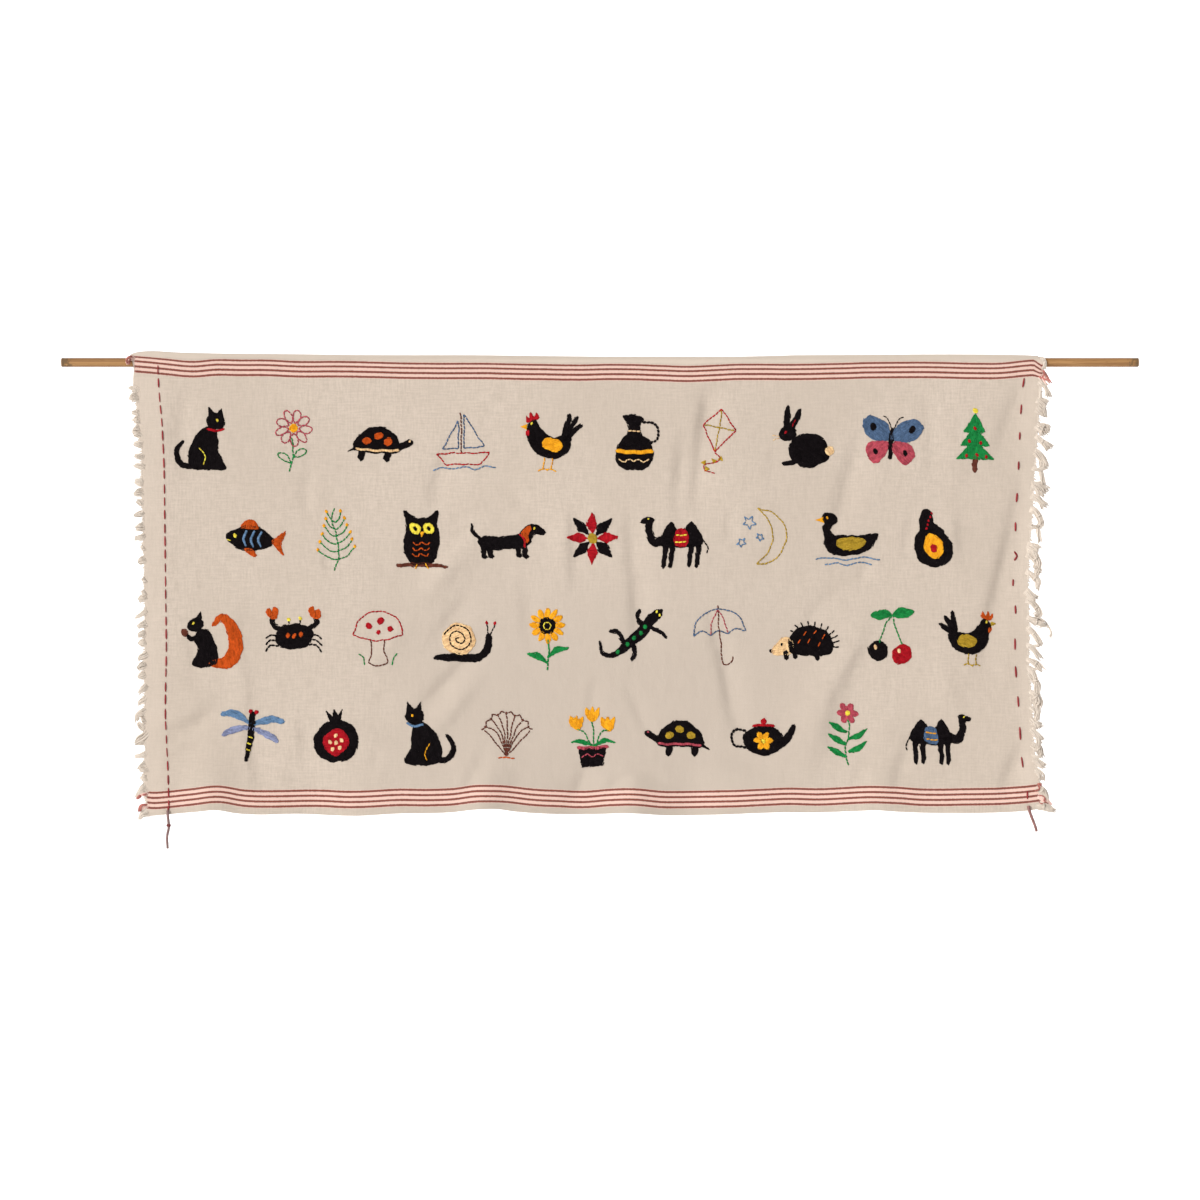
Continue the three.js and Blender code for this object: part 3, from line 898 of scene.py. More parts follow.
def make_cloth():
    """A fine grid, bent up the front, over the rod and down behind it."""
    stations = cloth_stations(sizes().down)
    last = len(stations) - 1
    columns = sizes().across
    bm = bmesh.new()
    bmesh.ops.create_grid(bm, x_segments=columns, y_segments=last, size=0.5)
    mesh = bpy.data.meshes.new("cloth_sheet")
    bm.to_mesh(mesh)
    bm.free()
    flat = np.empty(len(mesh.vertices) * 3)
    mesh.vertices.foreach_get("co", flat)
    share, up, _ = flat.reshape(-1, 3).T + 0.5
    side, level = stations[np.rint(up * last).astype(int)].T
    x, y, z = place_on_cloth(share, side, level)
    mesh.vertices.foreach_set("co", (np.stack([x, y, z], 1) * MM).ravel())
    fold = top_at(x)
    from_fold = np.where(side > 0, z - fold, from_fold_at(x, z))
    from_hem = np.where(side < 0, STRIPES_FROM_HEM + z - low_stripes_at(x), NO_STRIPES)
    for name, values in (("from_fold", from_fold), ("from_hem", from_hem)):
        mesh.attributes.new(name, "FLOAT", "POINT").data.foreach_set("value", values)
    corner = np.empty(len(mesh.loops), int)
    mesh.loops.foreach_get("vertex_index", corner)
    along = np.where(side > 0, 2 * fold - z, z)
    uv = np.stack([x, along], 1)[corner] * MM
    mesh.uv_layers.new(name="UVMap").data.foreach_set("uv", uv.ravel())
    mesh.shade_smooth()
    mesh.update()
    sheet = in_scene("cloth_sheet", mesh)
    wall = sheet.modifiers.new("thickness", "SOLIDIFY")
    wall.thickness = CLOTH * MM * PRESSED_THIN
    wall.offset = 0
    flat_edges = sheet.modifiers.new("flat_edges", "WEIGHTED_NORMAL")
    flat_edges.mode = "FACE_AREA"
    flat_edges.weight = 100
    return sheet


# Strands of yarn and stitches

class Strands:
    """Collects strands of yarn, each a row of rings, and makes one mesh of them all."""

    def __init__(self):
        self.batches = []

    def add(self, centres, radii, shades, sides=5, flatness=1.0, up=(0.0, -1.0, 0.0)):
        """centres: strands x stations x 3, radii: strands x stations, in millimetres."""
        centres = np.asarray(centres, float)
        radii = np.asarray(radii, float)
        ahead = unit(np.gradient(centres, axis=1))
        aside = unit(np.cross(ahead, np.broadcast_to(np.asarray(up, float), ahead.shape)))
        rise = np.cross(aside, ahead)
        turn = np.arange(sides) * 2 * math.pi / sides
        ring = (
            aside[:, :, None] * np.cos(turn)[None, None, :, None]
            + rise[:, :, None] * (np.sin(turn) * flatness)[None, None, :, None]
        )
        points = centres[:, :, None] + ring * radii[:, :, None, None]
        steps = np.linalg.norm(np.diff(centres, axis=1), axis=2)
        along = np.concatenate([np.zeros((len(centres), 1)), np.cumsum(steps, 1)], 1)
        self.batches.append((points, along, np.asarray(shades, float)))

    def mesh(self, name):
        verts, faces, uvs, shades = [], [], [], []
        base = 0
        for points, along, shade in self.batches:
            count, stations, sides, _ = points.shape
            number = base + np.arange(count * stations * sides).reshape(count, stations, sides)
            turned_on = np.roll(number, -1, axis=2)
            quads = np.stack(
                [number[:, :-1], turned_on[:, :-1], turned_on[:, 1:], number[:, 1:]], -1,
            )
            around = np.arange(sides) / sides
            here, ahead = along[:, :-1, None], along[:, 1:, None]
            zero = np.zeros_like(here + around)
            side = 1 / sides
            uv = np.stack([
                np.stack([zero + around + across, zero + reach], -1)
                for across, reach in ((0, here), (side, here), (side, ahead), (0, ahead))
            ], -2)
            verts.append(points.reshape(-1, 3))
            shades.append(np.repeat(shade, stations * sides))
            faces += [quads.reshape(-1, 4), number[:, 0, ::-1], number[:, -1]]
            uvs += [uv.reshape(-1, 2), np.zeros((2 * count * sides, 2))]
            base += count * stations * sides
        verts = np.concatenate(verts) * MM
        loops = np.concatenate([f.ravel() for f in faces])
        totals = np.concatenate([np.full(len(f), f.shape[1]) for f in faces])
        mesh = bpy.data.meshes.new(name)
        mesh.vertices.add(len(verts))
        mesh.vertices.foreach_set("co", verts.ravel())
        mesh.loops.add(len(loops))
        mesh.loops.foreach_set("vertex_index", loops)
        mesh.polygons.add(len(totals))
        mesh.polygons.foreach_set("loop_start", np.r_[0, np.cumsum(totals)[:-1]])
        mesh.update(calc_edges=True)
        mesh.shade_smooth()
        mesh.attributes.new("shade", "FLOAT", "POINT").data.foreach_set(
            "value", np.concatenate(shades),
        )
        mesh.uv_layers.new(name="UVMap").data.foreach_set("uv", np.concatenate(uvs).ravel())
        mesh.validate()
        return mesh

    def piece(self, name, material):
        made = in_scene(name, self.mesh(name))
        made.data.materials.append(material)
        return made


def stitches_on_cloth(strands, ends, width, lift, shades, behind=False, sides=4):
    """Sews straight stitches. ends: rows of x1, z1, x2, z2 on the cloth, in millimetres."""
    ends = np.asarray(ends, float)
    share, drop, thick = (STITCH if sides > 4 else np.delete(STITCH, 2, 0)).T
    x = ends[:, 0:1] + (ends[:, 2:3] - ends[:, 0:1]) * share
    z = ends[:, 1:2] + (ends[:, 3:4] - ends[:, 1:2]) * share
    rise = np.reshape(lift, (-1, 1)) - drop
    y = front_face(x, z) + CLOTH + rise if behind else front_face(x, z) - rise
    radii = np.reshape(width, (-1, 1)) / 2 * thick
    strands.add(
        np.stack([x, y, z], -1), radii + np.zeros_like(x), shades, sides, STITCH_FLATNESS,
    )


def wander(along, long_wave, short_wave, start, other_start):
    """How far a line drawn by hand strays, in a long wave and a short one."""
    return (
        np.sin(along / long_wave + start) * HAND_SWAY
        + np.sin(along / short_wave + other_start) * HAND_SHAKE
    )


class Needle:
    """Sews one motif: it turns outlines and lines into stitches at the motif's place."""

    def __init__(self, cloth, x, z, size, tilt):
        self.cloth = cloth
        self.x, self.z = x, z
        self.size = abs(size)
        self.flip = math.copysign(1, size)
        self.tilt = tilt
        self.filled = []

    def _placed(self, points):
        """Points of the drawing on the cloth, a little uneven as drawn by hand."""
        x, z = turned(np.asarray(points, float) * self.size, self.tilt).T
        right = self.x + (x + wander(z, 8.5, 2.9, self.x, self.z)) * self.flip
        return np.stack([right, self.z + z + wander(x, 9.5, 3.1, self.z, self.x)], 1)

    def fill(self, thread, outline, angle=0.0, edge=True):
        """Long and short stitches, side by side at an angle, within an outline."""
        shape = self._placed(outline)
        angle = (angle + self.tilt) * self.flip
        u, v = turned(shape, -angle).T
        next_u, next_v = np.roll(u, -1), np.roll(v, -1)
        pitch = self.cloth.pitch
        rows = []
        for k, level in enumerate(np.arange(v.min() + pitch / 2, v.max(), pitch)):
            cut = (v > level) != (next_v > level)
            at = np.sort(u[cut] + (level - v[cut]) / (next_v - v)[cut] * (next_u - u)[cut])
            for start, stop in zip(at[::2], at[1::2]):
                rows.extend(self._row(start, stop, level, k))
        if rows:
            rows = np.array(rows)
            ends = np.hstack([turned(rows[:, :2], angle), turned(rows[:, 2:], angle)])
            self.cloth.sew(thread, ends, self.cloth.width, self._level(ends))
        if edge:
            self._line(thread, np.vstack([shape, shape[:1]]), **EDGE_LINE)
        self.filled.append(shape)

    def _level(self, ends):
        """How many filled shapes of this motif lie under each stitch already."""
        x, z = (ends[:, 0] + ends[:, 2]) / 2, (ends[:, 1] + ends[:, 3]) / 2
        level = np.zeros(len(ends))
        for shape in self.filled:
            x1, z1 = shape.T[:, :, None]
            x2, z2 = np.roll(shape, -1, axis=0).T[:, :, None]
            crosses = (z1 > z) != (z2 > z)
            gap = np.where(z2 == z1, 1e-9, z2 - z1)
            ahead = x < x1 + (z - z1) / gap * (x2 - x1)
            level += np.count_nonzero(crosses & ahead, axis=0) % 2
        return level

    def _row(self, start, stop, level, k):
        """One row of filling: its stitches' ends, staggered against the next row's."""
        length = stop - start
        if length < SHORTEST_ROW:
            return []
        rng = self.cloth.rng
        usual = self.cloth.length
        count = max(1, int(round(length / usual + 0.15)))
        cuts = np.linspace(start, stop, count + 1)
        if count > 1:
            shift = usual * (STAGGER if k % 2 else -STAGGER)
            cuts[1:-1] += shift + rng.uniform(-UNEVEN_CUT, UNEVEN_CUT, count - 1)
            cuts = np.sort(np.clip(cuts, start, stop))
        cuts[0] += rng.uniform(-EDGE_OUT, EDGE_IN)
        cuts[-1] += rng.uniform(-EDGE_IN, EDGE_OUT)
        tilt = rng.uniform(-STITCH_TILT, STITCH_TILT, (count, 2))
        out = []
        for i in range(count):
            if cuts[i + 1] - cuts[i] > SHORTEST_STITCH:
                low = cuts[i] - STITCH_OVERLAP * (i > 0)
                high = cuts[i + 1] + STITCH_OVERLAP * (i < count - 1)
                out.append((low, level + tilt[i, 0], high, level + tilt[i, 1]))
        return out

    def blob(self, thread, points, angle=0.0, edge=True):
        """A filled shape with a smooth outline through points."""
        self.fill(thread, smooth_closed(points), angle, edge)

    def limb(self, thread, points, widths, angle=0.0, edge=True):
        """A filled, rounded stroke."""
        self.fill(thread, limb(points, widths), angle, edge)

    def disc(self, thread, x, z, radius, angle=0.0):
        """A filled round."""
        self.fill(thread, oval(x, z, radius, radius), angle)

    def dot(self, thread, x, z, across, up=None, turn=0.0):
        """A small filled oval with no line round it."""
        self.fill(thread, oval(x, z, across, up or across, turn), 0.0, False)

    def line(self, thread, points, width=None):
        """A line of stem stitch along a smooth curve."""
        shape = self._placed(smooth_open(points))
        self._line(thread, shape, width or self.cloth.line, **STEM_LINE)

    def trace(self, thread, *corners, width=None):
        """Straight lines of stem stitch from corner to corner."""
        for start, stop in zip(corners, corners[1:]):
            self.line(thread, [start, stop], width)

    def _line(self, thread, shape, width, proud, usual, rough, lap):
        """Stitches end to end along a line, each a little slanted across it."""
        steps = distances(shape)
        count = max(1, int(round(steps[-1] / usual)))
        cuts = np.linspace(0, steps[-1], count + 1)
        low, high = np.maximum(cuts[:-1] - lap, 0), np.minimum(cuts[1:] + lap, steps[-1])
        ends = np.hstack([places(shape, steps, low), places(shape, steps, high)])
        slant = unit(ends[:, 2:] - ends[:, :2])
        slant = np.stack([-slant[:, 1], slant[:, 0]], 1) * width * STEM_SLANT
        ends += np.hstack([-slant, slant])
        ends += self.cloth.rng.normal(0, rough, ends.shape)
        self.cloth.sew(thread, ends, width, self._level(ends) + proud)


class Embroidery:
    """All the stitches of the hanging, sorted by thread."""

    def __init__(self):
        coarser = 1.0
        self.rng = np.random.default_rng(20)
        self.pitch = sizes().stitch_pitch / MM * coarser
        self.width = sizes().thread_width / MM * coarser
        self.length = sizes().stitch_length / MM
        self.line = sizes().line_width / MM
        self.sewn = {}

    def sew(self, thread, ends, width, level):
        """Keeps stitches for their thread: their ends, widths, and how proud each stands."""
        lift = STITCH_PROUD + LAYER_PROUD * np.minimum(level, MOST_LAYERS)
        self.sewn.setdefault(thread, []).append((ends, np.full(len(ends), width), lift))

    def pieces(self):
        """One mesh for each thread. Black fills most motifs, so it is made in two halves."""
        made = []
        for thread, rows in sorted(self.sewn.items()):
            ends, width, lift = (np.concatenate(column) for column in zip(*rows))
            halves = {"": np.full(len(ends), True)}
            if thread == "black":
                halves = {"_left": ends[:, 0] < 0, "_right": ends[:, 0] >= 0}
            for suffix, chosen in halves.items():
                name = thread + suffix
                made.append(self._piece(thread, name, ends[chosen], width[chosen], lift[chosen]))
        return made

    def _piece(self, thread, name, ends, width, lift):
        strands = Strands()
        shades = np.clip(self.rng.normal(0.5, 0.2, len(ends)), 0, 1)
        wide = width * self.rng.uniform(0.9, 1.1, len(ends))
        stitches_on_cloth(strands, ends, wide, lift, shades)
        back = self.rng.random(len(ends)) < SEEN_BEHIND
        wide = wide[back] * BEHIND_WIDER
        stitches_on_cloth(strands, ends[back], wide, BEHIND_PROUD, shades[back], behind=True)
        material = bpy.data.materials.get("thread_" + thread)
        if material is None:
            material = thread_finish("thread_" + thread, linear(*THREADS[thread]), gloss=0.06)
        return strands.piece("embroidery_" + name, material)


# Motifs, each drawn about its own middle, in millimetres, in black and two coloured threads

def cat(s, one, two):
    s.limb("black", [(-17, -34), (-38, -33), (-45, -14), (-36, 0)], (6, 7, 6, 4), 40)
    s.blob("black", [
        (-22, -39), (-28, -22), (-22, 0), (-8, 17), (6, 20), (13, 4), (15, -16), (24, -36), (16, -40),
    ], 75)
    s.fill("black", oval(10, 28, 13, 11))
    s.fill("black", [(0, 33), (1, 49), (11, 38)], 60, False)
    s.fill("black", [(11, 38), (20, 48), (22, 32)], 60, False)
    s.limb(one, [(-2, 17), (9, 14), (20, 18)], (3.2, 3.4, 3.2), 90, False)
    s.dot(two, 13, 30, 2)
    s.line(two, [(-12, -10), (-4, -22), (-8, -34)], 1.6)


def hen(s, one, two):
    for dx, dz in ((-44, 22), (-38, 33), (-28, 38)):
        s.limb("black", [(-20, 4), ((dx - 20) / 2, dz * 0.6), (dx, dz)], (5, 7, 4), 110)
    s.blob("black", [
        (-31, 6), (-24, -14), (-3, -23), (19, -14), (28, 6), (29, 22), (20, 30), (13, 20), (-2, 6),
        (-18, 8),
    ], 15)
    s.blob(one, [(15, 31), (17, 40), (21, 34), (25, 41), (28, 33), (31, 37), (31, 27)], 90, False)
    s.fill(two, [(30, 25), (39, 21), (30, 18)], 0, False)
    s.fill(one, oval(29, 13, 2.6, 4.6), 90, False)
    s.blob(two, [(-15, 2), (3, 4), (9, -6), (-4, -13), (-17, -9)], 160)
    s.dot("yellow", 24, 25, 1.7)
    for x in (-4, 7):
        s.line(two, [(x, -22), (x + 1, -37)])
        s.line(two, [(x - 6, -40), (x + 1, -37), (x + 8, -40)])


def fish(s, one, two):
    s.blob("black", [(-31, 0), (-14, 15), (10, 17), (34, 1), (12, -14), (-14, -13)])
    s.fill(two, [(-28, 0), (-47, 17), (-40, 0), (-47, -17)])
    s.blob(two, [(-10, 15), (2, 27), (14, 16)], 100)
    s.blob(two, [(-4, -13), (-10, -24), (8, -14)], 80)
    for x in (-14, -4, 6):
        s.limb(one, [(x, 11), (x + 4, 1), (x, -9)], (2.6, 3.6, 2.4), 0, False)
    s.dot("yellow", 22, 4, 2.8)
    s.line("yellow", [(32, -3), (26, -4)], 1.5)


def butterfly(s, one, two):
    for m in (-1, 1):
        s.blob(one, [(2 * m, 3), (9 * m, 25), (32 * m, 35), (43 * m, 22), (30 * m, 4)], 35 * m)
        s.blob(two, [(3 * m, -2), (27 * m, -1), (34 * m, -17), (22 * m, -31), (8 * m, -20)], -40 * m)
        s.dot("black", 28 * m, 20, 5, 5.5)
        s.dot("black", 21 * m, -14, 3.6, 4.4)
        s.line("black", [(m, 17), (8 * m, 32), (15 * m, 36)], 1.5)
    s.limb("black", [(0, -24), (0, 0), (0, 18)], (3, 6, 4), 90)


def pot_plant(s, one, two):
    for x, z, bend in ((-22, 16, -16), (0, 28, 2), (22, 14, 17)):
        s.line("green", [(x * 0.15, -16), (bend * 0.7, z * 0.3), (x, z - 8)], 2)
    for m in (-1, 1):
        s.limb("green", [(m, -14), (16 * m, -8), (30 * m, -10)], (2, 7, 1.5), 10 * m, False)
    for x, z in ((-22, 16), (0, 28), (22, 14)):
        s.blob(one, [
            (x, z - 9), (x - 8, z - 2), (x - 9, z + 11), (x - 3, z + 5), (x, z + 12), (x + 3, z + 5),
            (x + 9, z + 11), (x + 8, z - 2),
        ], 90)
    s.fill("black", [(-14, -43), (14, -43), (19, -18), (-19, -18)])
    s.limb(two, [(-20, -17), (20, -17)], (5, 5), 90, False)
    s.line(two, [(-15, -30), (-7, -25), (0, -31), (7, -25), (15, -30)], 1.7)


def star(s, one, two):
    for k in range(8):
        thread = "black" if k % 2 else one
        reach = 37 if k % 2 == 0 else 40
        s.fill(thread, turned([
            (7, 0), (reach * 0.5, 7.5), (reach, 0), (reach * 0.5, -7.5),
        ], 45 * k), 45 * k + 90)
    s.disc(two, 0, 0, 7)


def paisley(s, one, two):
    s.blob("black", [
        (2, -38), (22, -28), (26, -6), (14, 12), (0, 24), (-4, 38), (-14, 40), (-19, 28), (-18, 14),
        (-25, -4), (-20, -28),
    ], 70)
    s.blob(one, [(1, -26), (13, -17), (12, -3), (-2, 8), (-11, -4), (-10, -19)], 70)
    s.fill(two, oval(1, -12, 4.5, 5.5))
    for k in range(5):
        s.dot(two, -9 + 1.5 * k, 14 + 5.4 * k, 1.6)


def sprig(s, one, two):
    s.line("green", [(0, -44), (3, -22), (-2, 0), (0, 22)], 2.1)
    for z, m in ((-32, 1), (-25, -1), (-14, 1), (-7, -1), (3, 1)):
        s.limb("green", [(m, z), (15 * m, z + 6), (27 * m, z + 15)], (2, 8, 1.4), 35 * m)
    for k in range(6):
        s.fill(one, turned(oval(9, 0, 6.5, 4.4), 60 * k, 0, 30), 60 * k)
    s.disc(two, 0, 30, 4)


def tortoise(s, one, two):
    s.limb("black", [(24, -8), (37, 0), (44, 3)], (7, 7, 9), 20)
    for x in (-20, 15):
        s.limb("black", [(x, -8), (x - 2, -21)], (8, 8), 90)
    s.limb("black", [(-26, -8), (-40, -13)], (5, 1.5), 20, False)
    s.blob("black", [(-31, -10), (-25, 11), (-2, 23), (22, 12), (30, -10), (0, -12)])
    for x, z in ((-15, 3), (0, 11), (14, 3)):
        s.fill(one, turned(oval(0, 0, 5.6, 4.8), 0, x, z), 60)
    s.limb(two, [(-28, -9), (28, -9)], (3.2, 3.2), 90, False)
    s.dot(two, 43, 5, 1.5)


def rabbit(s, one, two):
    s.limb("black", [(20, 18), (11, 35), (5, 47)], (6, 8, 4), 110)
    s.limb("black", [(25, 20), (24, 38), (21, 50)], (6, 8, 4), 95)
    s.blob("black", [(-29, -25), (-33, -5), (-20, 11), (0, 13), (15, 5), (20, -10), (14, -26)], 20)
    s.fill("black", oval(23, 13, 12, 10, 10), 10)
    s.limb("black", [(8, -20), (18, -28), (29, -28)], (8, 6, 5))
    s.limb("black", [(-24, -22), (-10, -29), (6, -29)], (9, 7, 5))
    s.disc(two, -36, -11, 6, 45)
    s.dot(one, 26, 15, 2)
    s.line(one, [(12, 34), (17, 22)], 1.6)
    s.line(two, [(33, 9), (44, 11)], 1.2)
    s.line(two, [(33, 7), (43, 4)], 1.2)


def duck(s, one, two):
    s.limb("black", [(20, -6), (29, 12), (24, 26)], (16, 10, 9), 90)
    s.blob("black", [(-40, 8), (-28, -14), (0, -22), (24, -16), (31, 0), (12, 6), (-8, 4), (-26, 6)])
    s.fill("black", oval(24, 28, 10, 8.5))
    s.fill(two, [(32, 30), (44, 26), (32, 22)], 0, False)
    s.blob(one, [(-22, 0), (8, 2), (14, -8), (-4, -15), (-22, -9)], 165)
    s.dot(two, 27, 30, 1.7)
    for z, w in ((-27, 44), (-34, 32)):
        s.line("sky", [(-w, z), (-w / 2, z + 3), (0, z - 1), (w / 2, z + 3), (w, z)], 1.9)


def snail(s, one, two):
    s.limb("black", [(-38, -25), (-6, -26), (20, -25), (34, -14), (37, 3)], (4, 10, 10, 9, 8))
    s.line("black", [(36, 5), (33, 19)], 1.7)
    s.line("black", [(39, 5), (44, 18)], 1.7)
    s.fill(one, oval(-4, -1, 22, 21), 25)
    s.line("black", [
        (-4 + 1.32 * t * math.cos(t), -1 + 1.27 * t * math.sin(t)) for t in np.linspace(1.2, 15.4, 34)
    ], 2)
    s.dot(two, 33, 21, 2.2)
    s.dot(two, 44, 20, 2.2)


def dragonfly(s, one, two):
    for m in (-1, 1):
        s.limb(one, [(2 * m, 15), (24 * m, 25), (43 * m, 24)], (3, 10, 5), 15 * m)
        s.limb(two, [(2 * m, 9), (22 * m, 4), (38 * m, -5)], (3, 9, 4), -20 * m)
        s.dot("crimson", 4 * m, 32, 3.2)
    s.limb("black", [(0, 29), (0, 12), (0, -38)], (7, 8, 3), 90)
    for z in (-4, -13, -22):
        s.limb("yellow", [(-2.4, z), (2.4, z)], (1.8, 1.8), 90, False)


def owl(s, one, two):
    s.limb("brown", [(-34, -39), (0, -37), (36, -41)], (4, 5, 3), 90)
    s.blob("black", [
        (0, -36), (-17, -33), (-25, -8), (-21, 18), (-24, 38), (-9, 29), (9, 29), (24, 38), (21, 18),
        (25, -8), (17, -33),
    ], 90)
    for m in (-1, 1):
        s.disc(two, 9.5 * m, 14, 7.5, 90 * m)
        s.dot("black", 9.5 * m, 14, 3)
        s.line("orange", [(6 * m, -35), (9 * m, -43)], 1.9)
    s.fill("orange", [(-3.5, 9), (3.5, 9), (0, 1)], 0, False)
    for z in (-8, -16, -24):
        s.line(one, [(-12, z + 3), (-6, z - 2), (0, z + 3), (6, z - 2), (12, z + 3)], 1.8)


def squirrel(s, one, two):
    s.limb(one, [
        (-2, -34), (-24, -32), (-36, -8), (-28, 18), (-14, 28), (-5, 18),
    ], (8, 16, 19, 17, 12, 5), 75)
    s.blob("black", [(-6, -36), (-9, -14), (0, 8), (13, 13), (20, 0), (16, -16), (24, -36)], 80)
    s.fill("black", oval(20, 19, 11, 9, -10))
    s.fill("black", [(12, 25), (13, 38), (21, 27)], 80, False)
    s.limb("black", [(15, 2), (26, 0), (30, 5)], (5, 5, 4))
    s.fill(two, oval(34, 8, 4.4, 5.6), 90)
    s.dot("yellow", 23, 21, 1.7)


def camel(s, one, two):
    for x in (-26, -15, 12, 22):
        s.limb("black", [(x, -4), (x - 1, -20), (x + 1, -39)], (8, 5.5, 5), 90)
    s.limb("black", [(22, 0), (38, -4), (44, 12), (42, 26)], (13, 11, 9, 8), 60)
    s.limb("black", [(40, 28), (54, 25)], (9, 6))
    s.blob("black", [
        (-33, -6), (-29, 10), (-18, 25), (-8, 13), (3, 13), (12, 26), (22, 12), (28, -2), (18, -10),
        (-14, -11),
    ])
    s.blob(one, [(-9, 13), (4, 13), (7, -8), (-11, -8)], 90)
    s.line(two, [(-10, -4), (7, -4)], 2)
    s.line(two, [(-10, 6), (6, 6)], 2)
    s.line("black", [(-33, 0), (-40, -10), (-39, -20)], 1.9)
    s.dot("yellow", 45, 29, 1.5)


def jug(s, one, two):
    s.line("black", [(13, 27), (31, 26), (34, 6), (21, -3)], 3.4)
    s.blob("black", [
        (-15, -40), (-27, -22), (-21, 0), (-9, 11), (-9, 26), (-17, 37), (13, 34), (9, 24), (9, 11),
        (21, 0), (27, -22), (15, -40),
    ])
    s.limb(one, [(-25, -14), (0, -17), (25, -14)], (6, 6, 6), 90, False)
    s.line(two, [(-22, -26), (-14, -31), (-7, -26), (0, -31), (7, -26), (14, -31), (22, -26)], 1.8)
    s.line(two, [(-9, 14), (9, 14)], 2)


def teapot(s, one, two):
    s.line("black", [(-24, 6), (-41, 8), (-42, -12), (-24, -17)], 3.4)
    s.limb("black", [(20, -12), (34, -4), (42, 14)], (13, 8, 6), 45)
    s.fill("black", oval(0, -6, 28, 20))
    s.limb(two, [(-14, 14), (0, 16), (14, 14)], (3.5, 4, 3.5), 90, False)
    s.disc(two, 0, 21, 4)
    for k in range(6):
        s.fill(one, turned(oval(8, 0, 6, 3.8), 60 * k, 0, -6), 60 * k, False)
    s.dot("yellow", 0, -6, 3)


def pine(s, one, two):
    s.limb("brown", [(0, -43), (0, -24)], (6, 6), 90)
    for z, w in ((-26, 27), (-7, 21), (12, 15)):
        s.fill("green", [(-w, z), (w, z), (0, z + 27)], 90)
    for x, z in ((-13, -22), (2, -20), (15, -23), (-8, -2), (8, -3), (0, 17)):
        s.dot(one, x, z, 2.4)
    s.disc(two, 0, 42, 3.6)


def cherries(s, one, two):
    s.line("green", [(-16, -8), (-6, 16), (4, 34)], 2)
    s.line("green", [(17, -12), (10, 12), (4, 34)], 2)
    s.blob("green", [(4, 33), (16, 42), (36, 36), (20, 27)], 10)
    s.blob("green", [(3, 33), (-10, 40), (-28, 30), (-12, 26)], -10)
    s.disc("black", -17, -20, 14, 30)
    s.disc(one, 18, -25, 14, -30)
    s.dot(two, -21, -15, 2.6, 3.6, 30)
    s.dot(two, 14, -20, 2.6, 3.6, 30)


def pomegranate(s, one, two):
    s.blob("black", [
        (0, -36), (-22, -30), (-31, -8), (-22, 12), (-7, 20), (7, 20), (22, 12), (31, -8), (22, -30),
    ])
    s.fill("black", [(-7, 18), (-12, 36), (-4, 28), (0, 38), (4, 28), (12, 36), (7, 18)], 90, False)
    s.blob(one, [(0, -28), (-14, -18), (-17, -4), (0, 10), (17, -4), (14, -18)])
    for x, z in ((-8, -8), (0, 0), (8, -8), (-5, -18), (5, -18), (0, -10)):
        s.fill(two, oval(x, z, 2.6, 3.4), 90, False)


def hedgehog(s, one, two):
    s.blob(two, [(16, -16), (22, 2), (32, 2), (46, -14), (34, -20)])
    for x in (-16, 14, 26):
        s.limb("black", [(x, -16), (x, -25)], (6, 5), 90)
    s.blob("black", [
        (-34, -18), (-36, -2), (-24, 14), (-4, 19), (14, 13), (23, 0), (18, -18), (-8, -21),
    ], 30)
    for k in range(11):
        t = math.radians(188 - 15 * k)
        c, d = math.cos(t), math.sin(t)
        s.line("black", [(-8 + 27 * c, -6 + 21 * d), (-8 + 38 * c, -6 + 32 * d)], 2)
    for x, z in ((-22, 2), (-10, 8), (4, 6), (-16, -8), (-2, -5), (11, -6)):
        s.line(one, [(x, z), (x - 4, z + 6)], 1.7)
    s.dot("black", 46, -14, 2.6)
    s.dot("black", 33, -6, 1.7)


def lizard(s, one, two):
    for leg in (
        [(-14, -10), (-24, 6), (-34, 6)], [(-4, -12), (2, -26), (-4, -33)],
        [(14, 10), (4, 24), (8, 34)], [(20, 12), (34, 6), (42, -2)],
    ):
        s.limb("black", leg, (5, 4.5, 4), 45)
    s.limb("black", [
        (-48, -8), (-42, -26), (-24, -24), (-8, -10), (10, 4), (20, 18), (34, 32),
    ], (2, 4, 7, 13, 14, 12, 11), 40)
    for x, z in ((-22, -22), (-10, -11), (-1, -4), (8, 3), (15, 11)):
        s.dot(one, x, z, 3)
    s.dot(two, 31, 33, 1.7)
    s.dot(two, 35, 28, 1.7)


def long_dog(s, one, two):
    s.limb("black", [(-38, 2), (-48, 12), (-50, 24)], (5, 4, 2), 60)
    for x in (-33, -24, 16, 25):
        s.limb("black", [(x, -8), (x, -20), (x + 4, -22)], (7, 6, 5), 90)
    s.limb("black", [(-34, -2), (-6, -3), (24, 0)], (19, 17, 20))
    s.limb("black", [(24, 4), (35, 17), (52, 13)], (15, 15, 8), 20)
    s.limb(one, [(31, 19), (25, 8), (27, 1)], (7, 9, 7), 80)
    s.limb(two, [(18, 9), (24, 1), (25, -8)], (3, 3.4, 3), 0, False)
    s.dot("yellow", 39, 18, 1.7)


def sunflower(s, one, two):
    s.line("green", [(0, -44), (-2, -20), (0, -2)], 2.4)
    s.limb("green", [(0, -34), (13, -26), (27, -24)], (2, 9, 1.5), 10)
    s.limb("green", [(-1, -26), (-14, -17), (-28, -16)], (2, 9, 1.5), -10)
    for k in range(12):
        s.fill(one, turned(oval(17, 0, 8, 3.8), 30 * k, 0, 16), 30 * k, False)
    s.disc("black", 0, 16, 11, 45)
    s.line(two, [
        (5.5 * math.cos(t), 16 + 5.5 * math.sin(t)) for t in np.linspace(0, 2 * math.pi, 9)
    ], 1.6)


